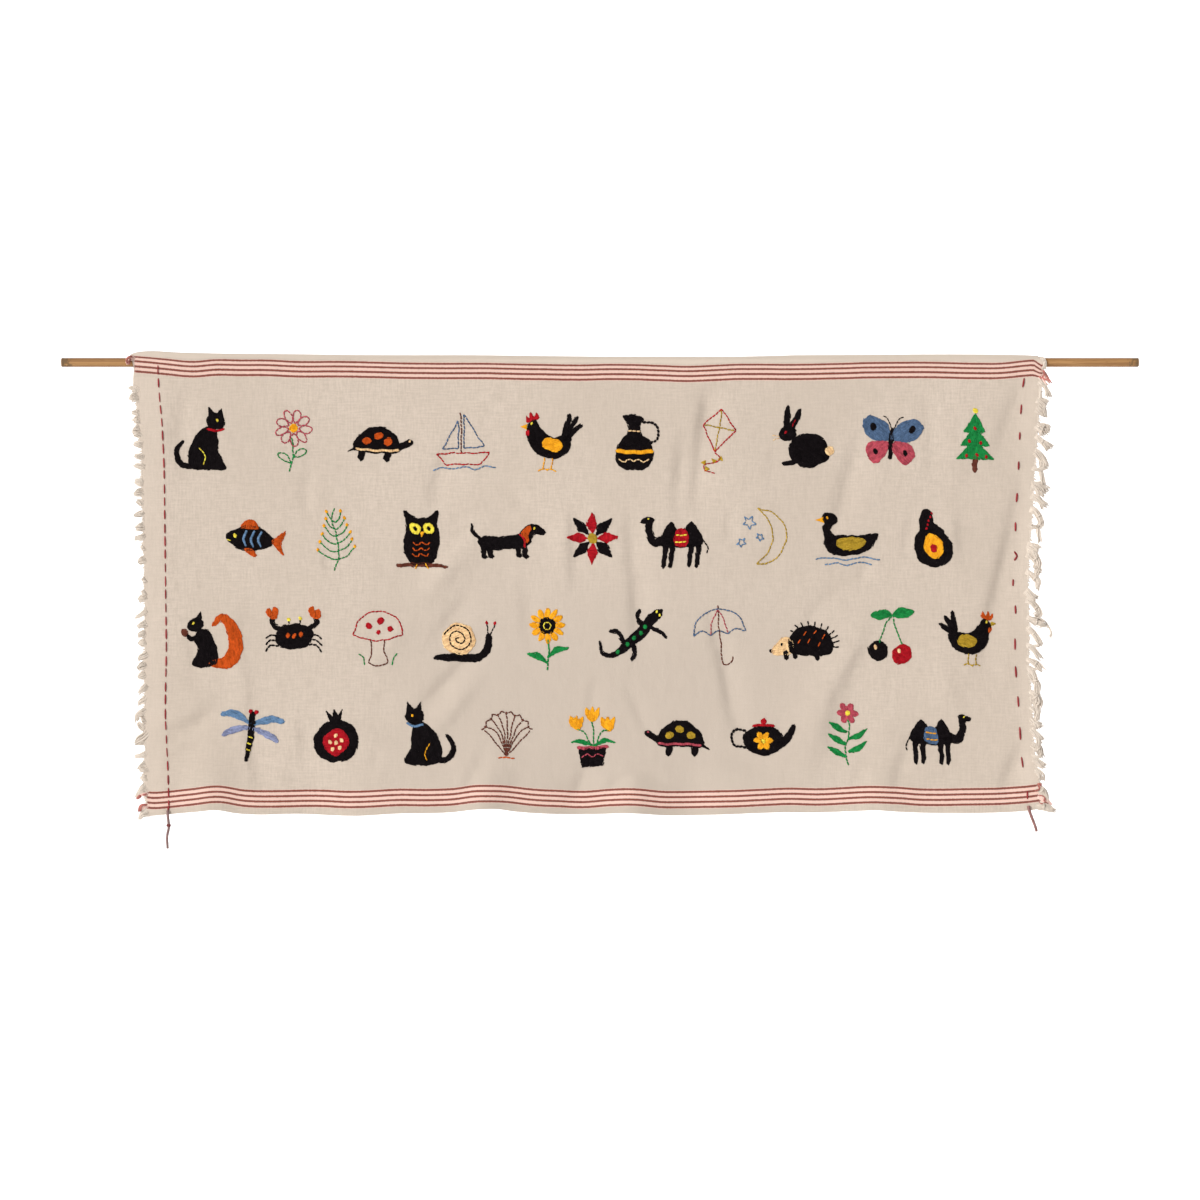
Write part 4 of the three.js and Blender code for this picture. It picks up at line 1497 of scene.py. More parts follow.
def crab(s, one, two):
    for m in (-1, 1):
        for k, z in enumerate((-14, -7, 0)):
            s.line("black", [(20 * m, z), (32 * m, z + 1), (39 * m, z - 9 + 2 * k)], 2.4)
        s.limb("black", [(18 * m, 8), (31 * m, 17), (29 * m, 27)], (5, 5, 6), 60)
        s.blob(one, [
            (25 * m, 25), (21 * m, 36), (28 * m, 40), (29 * m, 32), (34 * m, 38), (38 * m, 31),
            (33 * m, 24),
        ], 90)
        s.line("black", [(7 * m, 12), (8 * m, 21)], 1.9)
        s.dot(two, 8 * m, 23, 2.6)
    s.blob("black", [(0, -19), (-19, -14), (-26, 0), (-18, 12), (0, 15), (18, 12), (26, 0), (19, -14)])
    for x in (-9, 0, 9):
        s.dot(one, x, -1 + abs(x) * 0.2, 3, 3.6)


# Motifs sewn in line only

def boat(s, one, two):
    s.trace(one, (-38, -18), (-25, -34), (24, -34), (38, -18), (-38, -18))
    s.trace("brown", (-2, -18), (-2, 40))
    s.trace(two, (2, 37), (31, -9), (2, -11), (2, 37))
    s.trace(two, (-6, 28), (-28, -11), (-6, -12), (-6, 28))
    s.line("sky", [(-45, -40), (-30, -37), (-15, -41), (0, -37), (15, -41), (30, -37), (45, -41)])


def kite(s, one, two):
    s.trace(one, (0, 44), (-23, 18), (0, -16), (23, 18), (0, 44))
    s.trace(two, (0, 42), (0, -14))
    s.trace(two, (-21, 18), (21, 18))
    s.line(one, [(0, -17), (8, -25), (-2, -33), (-13, -37), (-10, -45), (4, -46)], 1.6)
    for x, z, turn in ((4, -27, 30), (-11, -38, -60)):
        for m in (-1, 1):
            s.fill(two, turned([(0, 0), (7 * m, 4), (7 * m, -4)], turn, x, z), turn + 90, False)


def fern(s, one, two):
    s.line(one, [(-7, -45), (3, -22), (0, 6), (-5, 28), (2, 43)])
    for k, z in enumerate((-30, -19, -8, 3, 13, 23)):
        reach = 26 - 3.2 * k
        for m in (-1, 1):
            s.line(one, [(0, z), (reach * 0.55 * m, z + 4), (reach * m, z + 14)], 1.8)
            s.dot(two, reach * m, z + 15, 2.3)


def daisy(s, one, two):
    s.line("green", [(0, 4), (2, -20), (-2, -46)])
    s.line("green", [(1, -24), (13, -22), (23, -11), (11, -12), (1, -24)], 1.8)
    s.line("green", [(0, -33), (-12, -31), (-22, -21), (-10, -21), (0, -33)], 1.8)
    for k in range(9):
        loop = [(7, 0), (15, 5.5), (24, 4.5), (27, 0), (24, -4.5), (15, -5.5), (7, 0)]
        s.line(one, turned(loop, 40 * k, 0, 18), 1.8)
    s.disc(two, 0, 18, 6)


def moon(s, one, two):
    s.line(one, [(8, 40), (-16, 33), (-30, 12), (-29, -12), (-14, -32), (10, -38)])
    s.line(one, [(8, 40), (-6, 26), (-12, 4), (-8, -18), (10, -38)])
    for x, z, size in ((20, 20, 10), (31, -8, 7), (6, 0, 6)):
        tips = [turned([(size * (1 if k % 2 else 0.42), 0)], 36 * k + 18, x, z)[0] for k in range(11)]
        s.trace(two, *[tuple(t) for t in tips], width=1.6)


def shell(s, one, two):
    for k in range(7):
        t = math.radians(30 + 20 * k)
        s.line(one, [
            (0, -33), (17 * math.cos(t), -10 + 17 * math.sin(t)),
            (38 * math.cos(t), -8 + 38 * math.sin(t)),
        ], 1.8)
    rim = []
    for k in range(15):
        t = math.radians(20 + 10 * k)
        out = 35 if k % 2 else 40
        rim.append((out * math.cos(t), -8 + out * math.sin(t)))
    s.line(one, rim)
    s.trace(one, (33, 5), (0, -34), (-33, 5))
    s.trace(two, (-12, -36), (12, -36))


def mushroom(s, one, two):
    s.line(one, [(-36, 2), (-28, 24), (-8, 37), (12, 36), (30, 22), (36, 2)])
    s.line(one, [(-36, 2), (-12, -4), (12, -4), (36, 2)])
    s.line(two, [(-10, -4), (-9, -22), (-14, -37), (0, -41), (14, -37), (9, -22), (10, -4)])
    for x, z, r in ((-14, 16, 4.5), (3, 24, 5), (17, 12, 4), (0, 8, 3)):
        s.disc(one, x, z, r, 20 * x)
    for m in (-1, 1):
        s.line("green", [(20 * m, -41), (22 * m, -30), (28 * m, -25)], 1.8)


def umbrella(s, one, two):
    s.line(one, [(-38, 4), (-32, 24), (-14, 38), (0, 41), (14, 38), (32, 24), (38, 4)])
    for x in (-38, -13, 12):
        s.line(one, [(x, 4), (x + 12.5, 10), (x + 25, 4)])
    for x in (-13, 12):
        s.line(two, [(x, 5), (x * 0.7, 24), (0, 40)], 1.6)
    s.line("brown", [(0, 46), (0, 0), (0, -32), (6, -41), (15, -38), (16, -30)])


# Where each motif is sewn: its drawing, x, z, size, tilt, and its two coloured threads. A motif
# of a negative size is mirrored.
LAYOUT = (
    (cat, -522, -105, 0.94, 0, "crimson", "yellow"),
    (daisy, -410, -104, 0.92, -4, "rose", "orange"),
    (tortoise, -296, -108, 0.99, -3, "rust", "peach"),
    (boat, -183, -104, 0.94, 2, "crimson", "slate"),
    (hen, -68, -106, -0.98, 0, "crimson", "orange"),
    (jug, 46, -105, 0.92, 0, "orange", "peach"),
    (kite, 156, -104, 0.96, -9, "crimson", "mustard"),
    (rabbit, 272, -108, -0.96, 0, "crimson", "peach"),
    (butterfly, 388, -106, 0.94, -5, "slate", "rose"),
    (pine, 500, -104, 0.94, 0, "crimson", "yellow"),
    (fish, -466, -236, -0.99, 6, "sky", "rust"),
    (fern, -352, -234, 0.94, 4, "green", "orange"),
    (owl, -238, -234, 0.95, 0, "rust", "yellow"),
    (long_dog, -124, -238, 0.94, 0, "rust", "crimson"),
    (star, -10, -234, 0.94, 0, "crimson", "mustard"),
    (camel, 106, -236, -0.92, 0, "crimson", "yellow"),
    (moon, 218, -233, -0.96, 0, "mustard", "sky"),
    (duck, 330, -236, -0.99, 0, "mustard", "orange"),
    (paisley, 444, -236, 0.97, 0, "orange", "crimson"),
    (squirrel, -520, -368, -0.98, 0, "rust", "brown"),
    (crab, -408, -364, 0.96, 0, "rust", "yellow"),
    (mushroom, -296, -366, 0.92, 0, "crimson", "brown"),
    (snail, -184, -368, 0.99, 0, "peach", "crimson"),
    (sunflower, -70, -366, -0.98, 0, "orange", "yellow"),
    (lizard, 46, -364, 0.98, 0, "green", "yellow"),
    (umbrella, 160, -366, 0.92, 5, "slate", "rose"),
    (hedgehog, 274, -370, -0.98, 0, "rust", "peach"),
    (cherries, 386, -366, 0.92, 0, "crimson", "peach"),
    (hen, 494, -368, 0.92, 0, "rust", "mustard"),
    (dragonfly, -466, -496, -0.96, 8, "sky", "lilac"),
    (pomegranate, -352, -497, 0.96, 3, "crimson", "peach"),
    (cat, -238, -498, -0.94, 0, "sky", "orange"),
    (shell, -124, -494, 0.92, 0, "brown", "rust"),
    (pot_plant, -10, -497, 0.96, 0, "orange", "rose"),
    (tortoise, 106, -500, -0.99, 3, "mustard", "rose"),
    (teapot, 218, -498, 0.96, 0, "orange", "crimson"),
    (sprig, 330, -496, -0.94, 0, "rose", "yellow"),
    (camel, 444, -499, 0.9, 0, "slate", "orange"),
)


# Pieces

def finished(piece):
    """Lets a piece ride on the part."""
    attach(piece, "root")
    return piece


def loose_thread(side, route, name, colour):
    """The loose end of a running thread, as a curve of one spline, and its length."""
    smooth = smooth_open(np.array(route) / MM, 2.2)
    y = -CLOTH - forward_at(smooth[:, 0], smooth[:, 1]) - THREAD_AHEAD
    data = bpy.data.curves.new("loose_thread_" + side, "CURVE")
    data.dimensions = "3D"
    data.bevel_depth = THREAD_DIAMETER / 2
    data.bevel_resolution = 2
    data.use_fill_caps = True
    spline = data.splines.new("POLY")
    spline.points.add(len(smooth) - 1)
    spots = [Vector((x, depth, z)) * MM for (x, z), depth in zip(smooth, y)]
    for i, (point, spot) in enumerate(zip(spline.points, spots)):
        thinner_tip = THREAD_TAPER * (i / len(smooth)) ** 2
        point.radius = THREAD_FULL - thinner_tip - THREAD_UNEVEN * (i % 3)
        point.co = (*spot, 1.0)
    data.materials.append(thread_finish(name, linear(*colour), relief=1.0, hanging=True))
    piece = finished(in_scene("loose_thread_" + side, data))
    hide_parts("thread_end_" + side)
    return piece, sum((b - a).length for a, b in zip(spots, spots[1:]))


def knot(strands, x, y, z, size):
    """A small overhand knot, as a thread that winds round itself."""
    t = np.linspace(0, 1, KNOT_STATIONS)
    turn = t * 2 * math.pi * KNOT_TURNS
    radius = size * (0.55 + 0.45 * np.sin(t * math.pi))
    centres = np.stack([
        x + radius * np.cos(turn), y + radius * np.sin(turn) * 0.8, z + size * 1.5 * (0.5 - t),
    ], 1)
    radii = np.full((1, KNOT_STATIONS), size * 0.55)
    strands.add(centres[None], radii, [0.5], sides=6, up=(0.1, 0.2, 1.0))


def make_thread_ends():
    """The loose ends of both running threads, below the hem."""
    left = loose_thread("left", THREAD_END_LEFT, "thread_frayed", FRAYED_THREAD)
    right = loose_thread("right", THREAD_END_RIGHT, "thread_loose", LOOSE_THREAD)
    made = Strands()
    x, z = KNOT_PLACE
    knot(made, x, -CLOTH - forward_at(x, z) - THREAD_AHEAD, z, KNOT_SIZE)
    dark = thread_finish("thread_tied", linear(*TIED_THREAD), relief=1.0, hanging=True)
    tied = finished(made.piece("thread_knot", dark))


def run_along(route, starts_and_lengths):
    """Stitches along a route, by their distances along it."""
    line = smooth_open(route, 4.0)
    steps = distances(line)
    start, length = np.array(starts_and_lengths).T
    stop = np.minimum(start + length, steps[-1])
    ends = np.hstack([places(line, steps, start), places(line, steps, stop)])
    return ends[start < steps[-1]]


def make_running_stitches():
    """A red running thread down each side: close on the left and wide apart on the right. Its
    last stitch goes over the hem on the left, and behind it on the right."""
    rng = np.random.default_rng(6)
    strands = Strands()
    starts = [
        (k * RUN_PITCH + rng.uniform(*RUN_LATE), RUN_LENGTH + rng.uniform(-RUN_UNEVEN, RUN_UNEVEN))
        for k in range(1, RUN_COUNT)
    ]
    sides = ((run_along(RUNNING_LEFT, starts), RUN_THICK_LEFT), (RUNNING_RIGHT, RUN_THICK_RIGHT))
    for ends, thickness in sides:
        ends = np.array(ends)
        shades = rng.uniform(*SHADES, len(ends))
        thick = rng.uniform(*thickness, len(ends))
        stitches_on_cloth(strands, ends, thick, RUN_PROUD, shades, sides=6)
        gaps = np.hstack([ends[:-1, 2:], ends[1:, :2]])
        gaps = gaps[np.hypot(gaps[:, 2] - gaps[:, 0], gaps[:, 3] - gaps[:, 1]) > 1]
        shades = rng.uniform(*SHADES, len(gaps))
        wide = np.full(len(gaps), RUN_THICK_BEHIND)
        stitches_on_cloth(strands, gaps, wide, RUN_PROUD_BEHIND, shades, behind=True, sides=6)
    left, right = np.array(THREAD_END_LEFT[0]) / MM, np.array(THREAD_END_RIGHT[0]) / MM
    over, under = (*RUNNING_LEFT[-1], *left), (*RUNNING_RIGHT[-1][2:], *right)
    stitches_on_cloth(strands, [over], *LAST_OVER_HEM, [0.5], sides=6)
    stitches_on_cloth(strands, [under], *LAST_BEHIND_HEM, [0.5], behind=True, sides=6)
    red = thread_finish("thread_running", tuple(colours().running))
    finished(strands.piece("running_stitches", red))


def edge_place(side, z):
    """x and y of the cloth's side edge at a height, midway through the cloth."""
    x = right_at(z) if side > 0 else left_at(z)
    return x, front_face(x, z) + CLOTH / 2


def deep(y):
    """Shifts along y alone, for points in rows."""
    return np.stack([0 * y, y, 0 * y], 1)


def bundle(strands, path, halves, yarns, rng, shade):
    """A lock of loose yarns along a path. halves: its half widths from the root to the tip."""
    line = smooth_open(path, 0.6)
    steps = distances(line)
    share = np.linspace(0, 1, YARN_STATIONS)
    centre = places(line, steps, share * steps[-1])
    half = LOCK_SPREAD * np.interp(share, np.linspace(0, 1, len(halves)), halves)
    ahead = unit(np.gradient(centre, axis=0), 0)
    aside = unit(np.cross(ahead, (0.0, -1.0, 0.0)), 0)
    rows = []
    for k in range(yarns):
        turn = 2 * math.pi * (k / yarns * 7 + rng.uniform(0, 0.15))
        out = math.sqrt((k + 0.5) / yarns)
        here = turn + LOCK_TWIST * share * 2
        wide = out * np.cos(here) * half
        depth = out * np.sin(here) * np.minimum(half * LOCK_FLATNESS, 0.2 + 5 * share)
        sway = rng.uniform(-YARN_SWAY, YARN_SWAY) * np.sin(share * math.pi * rng.uniform(1, 2.5))
        stray = rng.uniform(*STRAY_REACH) if k % STRAY_EACH == STRAY_EACH - 1 else 0.0
        reach = 1 + (rng.uniform(*YARN_REACH) + stray) * share[:, None] ** 2
        row = centre[0] + (centre - centre[0]) * reach
        rows.append(row + aside * (wide + sway)[:, None] + deep(depth))
    thick = YARN_RADIUS * np.interp(share, *YARN_TAPER)
    shades = np.clip(shade + rng.uniform(-0.22, 0.22, yarns), 0, 1)
    strands.add(np.array(rows), np.tile(thick, (yarns, 1)), shades)


def wraps(strands, at, ahead, half, shade, turns=2):
    """The turns of a knot round a lock."""
    t = np.linspace(0, 2 * math.pi * turns, YARN_STATIONS * turns)
    ahead = unit(ahead, 0)
    aside = np.cross(ahead, (0.0, -1.0, 0.0))
    along = (t / t[-1] - 0.5) * 0.85 * turns
    centre = at + aside * (half * np.cos(t))[:, None] + ahead * along[:, None]
    centre = centre + deep(half * 0.8 * np.sin(t))
    strands.add(centre[None], np.full((1, len(t)), 0.72), [shade], up=(0.3, 0.2, 0.9))


# Locks of warp yarn at each side: x, z and half width at the root, and then at each further
# point, whose x and z are its way from the root
LEFT_LOCKS = (
    ((-614, -37.5, 2), (-7, 3, 2.2), (-14, 3.5, 1.5)), ((-615, -45, 4.5), (-6, -2, 4.2), (-9, -6, 3)),
    ((-614, -66, 2.2), (-5, -0.5, 2.4), (-10, -1.5, 1.8)),
    ((-613, -76, 4), (-5, -1, 3.6), (-9, -2, 2.4)), ((-612, -91, 5.5), (-6, -2, 5.2), (-10.5, -3, 3.8)),
    ((-609, -110.5, 2.6), (-7, 1, 3), (-12.5, 2, 2)), ((-607, -127, 2.2), (-6, 1, 2.8), (-13.5, 2.5, 2)),
    ((-606, -139.5, 2), (-7, 1, 2.4), (-11, 1.5, 2.8), (-15, 2.5, 1.8)),
    ((-608, -161.5, 2.6), (-6, 1.5, 3.2), (-11.5, 4.5, 2)),
    ((-608, -172, 3), (-5, -1, 3.6), (-10, -3.5, 3.8), (-12.5, -5, 2.2)),
    ((-608, -187.5, 2.2), (-5, 1, 2.8), (-9.5, 2.5, 2)),
    ((-607, -200, 2), (-6, -2, 2.4), (-14, -4, 1.8)),
    ((-607, -218, 2.6), (-6, -2, 3.2), (-11.5, -3.5, 2.4)),
    ((-605, -231, 2), (-7, -2.5, 2.5), (-15, -4, 2)), ((-607, -246, 2.4), (-4, -3, 2)),
    ((-605, -262, 3), (-6, -3, 3.4), (-9.5, -6, 2.4)), ((-605, -289, 2.5), (-4.5, -3, 2)),
    ((-605, -306, 2.6), (-5, -3, 2.2)), ((-604, -312, 2.6), (-6, -3, 3.2), (-10.5, -6, 2.2)),
    ((-603, -331, 2), (-5, -3, 2.2), (-10, -6.5, 2.4), (-16, -9, 1.6)),
    ((-604, -347, 2.4), (-6, -3, 2.8), (-12, -6, 2)),
    ((-605, -360, 2.2), (-6, -2.5, 2.8), (-11, -5, 2.2)),
    ((-605, -372, 2.6), (-5, -2, 3.2), (-8.5, -5, 2.4)),
    ((-603, -387, 2.4), (-6, -4, 3), (-12, -9, 2.2)),
    ((-605, -401, 2.6), (-6, -4, 3.2), (-10.5, -8.5, 2.4)),
    ((-606, -414, 2.4), (-5, -3, 3), (-8.5, -7, 2.2)), ((-603, -430, 2), (-6, -5, 2.4), (-12, -11, 1.9)),
    ((-604, -446, 2), (-6, -5, 2.5), (-12, -10, 2)),
    ((-604, -463, 2.2), (-7, -3, 2.4), (-13, -8, 2.6), (-13.5, -15, 2.4)),
    ((-606, -488, 2.4), (-6, 3, 2.8), (-10, 8, 2.6)), ((-606, -474, 5), (-6, -2, 4.5)),
    ((-603, -492, 2), (-6, -6, 3), (-12, -11, 4), (-16, -16, 2)),
    ((-606, -505, 2.4), (-7, -2, 2.4), (-12, -3, 1.6)),
    ((-604, -520, 2), (-6, -3, 2.2), (-11, -5, 2.2), (-16.5, -5, 1.5)),
    ((-604, -538, 4.5), (-6, -3, 4.2), (-10, -6, 2.8)), ((-604, -553, 3), (-5, -1, 3), (-7.5, -3, 2)),
)
RIGHT_LOCKS = (
    ((588, -27, 2.5), (5, -5, 1.8), (9, -12, 2.2), (11, -19, 3.2)),
    ((587, -30, 1.5), (0, -10, 1.2), (1, -20, 1.6)), ((586, -51, 3), (4, -2, 4), (10, -5, 4)),
    ((586, -61, 4.5), (4, -4, 3.5), (9, -11, 1.5)),
    ((585, -86, 3.5), (5, -2, 5), (9, -5, 6.5), (12, -8, 5)),
    ((584, -100, 2.2), (6, -5, 2.4), (12, -10, 3.4), (17, -15, 4.6)),
    ((583, -120, 3.2), (7, -8, 3.2), (14, -18, 2.2)), ((580, -142, 1.8), (7, 0, 1.8), (16, 2, 1.5)),
    ((588, -130, 2.5), (4, -10, 3)), ((587, -142, 2), (2, -9, 2.2), (5, -21, 2)),
    ((579, -161, 1.6), (5, 0, 1.6), (11, 0, 1.6)), ((583, -166, 3.5), (6, -4, 6), (12, -9, 6.5)),
    ((581, -180, 2.6), (7, -5, 2.6), (14, -13, 4.2)),
    ((579, -197, 2.8), (6, -7, 2.8), (10, -17, 2.6), (7, -23, 2.4)),
    ((576, -219, 1.8), (5, 0, 1.8), (10, -1, 1.8)), ((584, -220, 1.8), (1, -10, 2.2), (3, -20, 2.4)),
    ((575, -245, 3), (6, -2, 3.5), (11, -5, 4)),
    ((574, -256, 3.5), (7, -5, 3.5), (11, -13, 3), (9, -19, 2.6)),
    ((582, -275, 2.4), (3, -4, 4), (6, -6, 4.2)),
    ((573, -281, 2.2), (7, -6, 2.8), (13, -13, 2.8), (10, -22, 1.8)),
    ((570, -306, 3), (6, -5, 3.2), (12, -10, 4)),
    ((575, -319, 2.4), (7, -7, 2.6), (12, -15, 2.6), (6, -21, 2)),
    ((573, -342, 2.4), (9, -3, 4), (17, -6, 4.2), (23, -7, 2.5)),
    ((594, -348, 1.2), (6, -7, 0.6), (8, -14, 0.5), (6, -19, 0.4)),
    ((572, -355, 2.4), (6, -6, 2.4), (12, -14, 2.8), (16, -22, 1.6)),
    ((574, -378, 1.5), (6, 0, 1.5), (13, 0, 1.5)), ((575, -379, 2.2), (7, -8, 2.4), (13, -16, 2.8)),
    ((574, -397, 2.2), (7, -4, 3), (14, -11, 3.2), (17, -13, 2.6)),
    ((573, -415, 2.4), (6, -8, 2.8), (12, -17, 2.8), (9, -23, 2.6)),
    ((575, -441, 3), (6, -4, 3.5), (10, -12, 4), (7, -17, 2.6)),
    ((576, -461, 2), (6, -3, 2.6), (7, -11, 2.2)), ((576, -477, 2.2), (6, -5, 2.8), (14, -6, 1.6)),
    ((580, -482, 2.5), (5, -6, 2.6)), ((576, -490, 3), (7, -7, 2.8), (14, -14, 2.4)),
    ((579, -511, 3), (6, -3, 3.5), (9, -10, 3.2), (12, -15, 1.8)),
    ((581, -531, 2.6), (6, -4, 3), (12, -8, 2.6)), ((583, -545, 2.6), (5, -5, 3.2), (6, -12, 2.6)),
    ((577, -250, 2.4), (6, -12, 2.6), (4, -26, 2)),
    ((576, -410, 2.2), (5, -14, 2.6), (7, -30, 3), (5, -42, 2.2)),
    ((578, -450, 2.4), (6, -14, 2.8), (4, -30, 2.2)), ((579, -492, 1.8), (6, -13, 2.2), (4, -28, 1.8)),
    ((574, -407, 1.4), (6, -2, 1.4), (13, 0, 1.4)), ((578, -524, 1.4), (6, -2, 1.6), (12, 0, 1.4)),
)

# Tufts at the corners: side, yarn, and then the same
CORNER_TUFTS = (
    (-1, "ground", (-617, 4, 2.2), (-7, 1, 2.4), (-12, -2, 2.2), (-11, -7, 1.4)),
    (-1, "stripe", (-618, 6.5, 0.8), (-7, 1, 0.9), (-12, -2.5, 0.9), (-11, -8.5, 0.6)),
    (-1, "stripe", (-619, 3, 0.7), (-6, 1, 0.8), (-7, -6, 0.6)),
    (-1, "warp", (-604, -566, 4), (-6, -4, 3.6), (-11, -9, 2.8), (-13.5, -13, 1.8)),
    (-1, "ground", (-602, -574, 3), (-6, -1, 2.6), (-11, -3, 1.6)),
    (-1, "stripe", (-611, -577, 0.8), (-3, -2, 1.6), (-6, -5, 1.1)),
    (-1, "stripe", (-603, -574.5, 0.7), (-3, -1, 0.8), (-6, -2, 0.6)),
    (-1, "ground", (-602, -591, 2.2), (-7, -2, 2.4), (-11, -8, 1.6)),
    (-1, "stripe", (-603, -590, 0.8), (-6, 0.5, 0.8), (-10, -2, 1.2), (-11.5, -9, 1.6)),
    (-1, "warp", (-602, -599, 3.6), (-5, -2, 3.2), (-9, -5, 2.4), (-12, -10, 1.4)),
    (1, "warp", (585, 5, 1.8), (4, -1, 2), (7, -5, 1.8), (7, -11, 1.6), (4, -16, 1.2)),
    (1, "ground", (584, -9, 2.6), (6, -5, 3), (11, -12, 2.8), (16, -18, 1.8)),
    (1, "ground", (586, -14, 1.6), (2, -7, 1.8), (7, -13, 1.8), (11, -15, 1.2)),
    (1, "stripe", (587, -8, 0.6), (4, -4, 0.7), (5, -10, 0.7), (1, -14, 0.6), (-2, -11, 0.4)),
    (1, "stripe", (588, -9, 0.5), (6, -6, 0.6), (9, -12, 0.6), (13, -17, 0.4)),
    (1, "stripe", (589, -20, 0.4), (4, -3, 0.5), (9, -3, 0.5), (13, -7, 0.4)),
    (1, "warp", (584, -20, 2.4), (6, -5, 2), (10, -11, 1.6)),
    (1, "stripe", (583, -562, 0.6), (3, 0, 1), (5, -2, 1.2)),
    (1, "stripe", (579, -571, 0.8), (5, 1, 0.8), (7, 4, 0.8), (5, 8, 0.8)),
    (1, "warp", (583, -566, 3.2), (6, -4, 3.4), (10, -11, 3.2), (12, -19, 2.6)),
    (1, "ground", (583, -577, 3.4), (7, -4, 3.4), (14, -9, 3), (17, -13, 1.8)),
    (1, "stripe", (584, -577, 0.6), (5, 0, 0.7), (9, -3, 0.6), (8, -8, 0.4)),
    (1, "stripe", (585, -584, 0.5), (3, -4, 0.6), (8, -2, 0.6), (12, -4, 0.4)),
    (1, "warp", (582, -590, 4), (9, -1, 3.6), (16, -4, 2.8), (24, -7, 1.4)),
)


def loose_ends(strands, side, rng):
    """Short ends of weft and warp that soften the whole side edge."""
    z = np.arange(LOOSE_FROM, LOWEST + 12, -LOOSE_PITCH)
    z = z + rng.uniform(-0.8, 0.8, len(z))
    x, y = edge_place(side, z)
    length = rng.uniform(1.2, 3.4, len(z)) + 1.6 * np.maximum(0, np.sin(z / 2.3) * np.sin(z / 9.1))
    drop = rng.uniform(-0.3, 1.2, len(z))
    share = np.linspace(0, 1, 5)
    bend = rng.uniform(-0.7, 0.7, (len(z), 1)) * share**2
    reach = share * (length + LOOSE_ROOT)[:, None]
    out = side * (reach * np.cos(drop)[:, None] - LOOSE_ROOT)
    fall = reach * np.sin(drop)[:, None]
    centres = np.stack([x[:, None] + out, y[:, None] + bend, z[:, None] - fall + bend], -1)
    radii = np.full((len(z), 5), 0.75) * (1, 1, 1, 0.9, 0.5)
    strands.add(centres, radii, rng.uniform(0.3, 0.8, len(z)))


def make_fringe(side):
    """Locks of loose warp ends: short teeth on the left, knotted open ones on the right."""
    name = "left" if side < 0 else "right"
    rng = np.random.default_rng(40 + side)
    ends = {yarn: Strands() for yarn, *_ in YARNS}
    rows = [("warp", *row) for row in (LEFT_LOCKS if side < 0 else RIGHT_LOCKS)]
    rows += [row[1:] for row in CORNER_TUFTS if row[0] == side]
    for yarn, (root_x, root_z, root_half), *points in rows:
        path = [(root_x, root_z), *((root_x + x, root_z + z) for x, z, _ in points)]
        halves = [root_half, *(half for _, _, half in points)]
        lean = rng.uniform(-1.0, 0.8)
        edge, _ = edge_place(side, min(root_z, SLEEVE_END))
        open_lock = side > 0 and yarn == "warp"
        if open_lock:
            halves = [RIGHT_WIDER * h for h in halves]
            if root_z < BELOW_SLEEVE and abs(root_x - edge) < STARTS_AT_EDGE:
                path.insert(0, (float(edge) + START_INSIDE[0], root_z + START_INSIDE[1]))
                halves.insert(0, halves[0] * START_WIDER)
        elif yarn == "warp":
            halves[:2] = [half * wider for half, wider in zip(halves, LEFT_WIDER)]
        ahead = STRIPE_AHEAD if yarn == "stripe" else 0.0
        lock = [(x, lock_depth(side, z, i, lean, ahead), z) for i, (x, z) in enumerate(path)]
        yarns = round(3 + 6 * max(halves))
        shade = rng.uniform(0.4, 0.75)
        bundle(ends[yarn], lock, halves, yarns, rng, shade)
        if open_lock and len(path) == TIED_POINTS:
            along = np.subtract(lock[3], lock[1])
            wraps(ends[yarn], np.array(lock[2]), along, halves[2], shade)
    loose_ends(ends["warp"], side, rng)
    made = []
    for yarn, strands in ends.items():
        piece = strands.piece(yarn + "_ends_" + name, bpy.data.materials[yarn + "_yarn"])
        made.append(finished(piece))
    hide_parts("fringe_" + name)
    return made


def lock_depth(side, z, step, lean, ahead):
    """The y of a lock: in the cloth at its root, then free, and in front of the rod near it."""
    _, y = edge_place(side, min(z, SLEEVE_END))
    free = -CLOTH - POCKET_RADIUS - AHEAD_OF_ROD if z > BESIDE_ROD else y + lean * step / 3
    return float(y) if step == 0 else float(free - ahead)


# Stage

CAMERA_LENS = 100.0
SENSOR = 36.0
FRAME_WIDTH = 1.6
FRAME_MIDDLE = -0.3167
SWEEP_SIZE = 30.0
SWEEP_BEHIND = 5.5
SWEEP_BEND = 1.2
SWEEP_COLOUR = (0.92, 0.92, 0.92, 1.0)
SWEEP_GLOW = 0.42
FLOOR_BELOW = 1.6
ROOM_LIGHT = 0.14


def make_camera():
    data = bpy.data.cameras.new("view")
    data.lens = CAMERA_LENS
    data.sensor_width = SENSOR
    data.clip_end = 30
    camera = in_scene("view", data)
    camera.location = (0, -FRAME_WIDTH * CAMERA_LENS / SENSOR, FRAME_MIDDLE)
    camera.rotation_euler = (math.pi / 2, 0, 0)
    bpy.context.scene.camera = camera


def make_light(name, kind, place, power, **settings):
    """A light that points at the middle of the hanging."""
    data = bpy.data.lights.new(name, kind)
    data.energy = power
    for key, value in settings.items():
        setattr(data, key, value)
    light = in_scene(name, data)
    light.location = place
    aim = Vector((0, 0, -0.3)) - Vector(place)
    light.rotation_euler = aim.to_track_quat("-Z", "Y").to_euler()


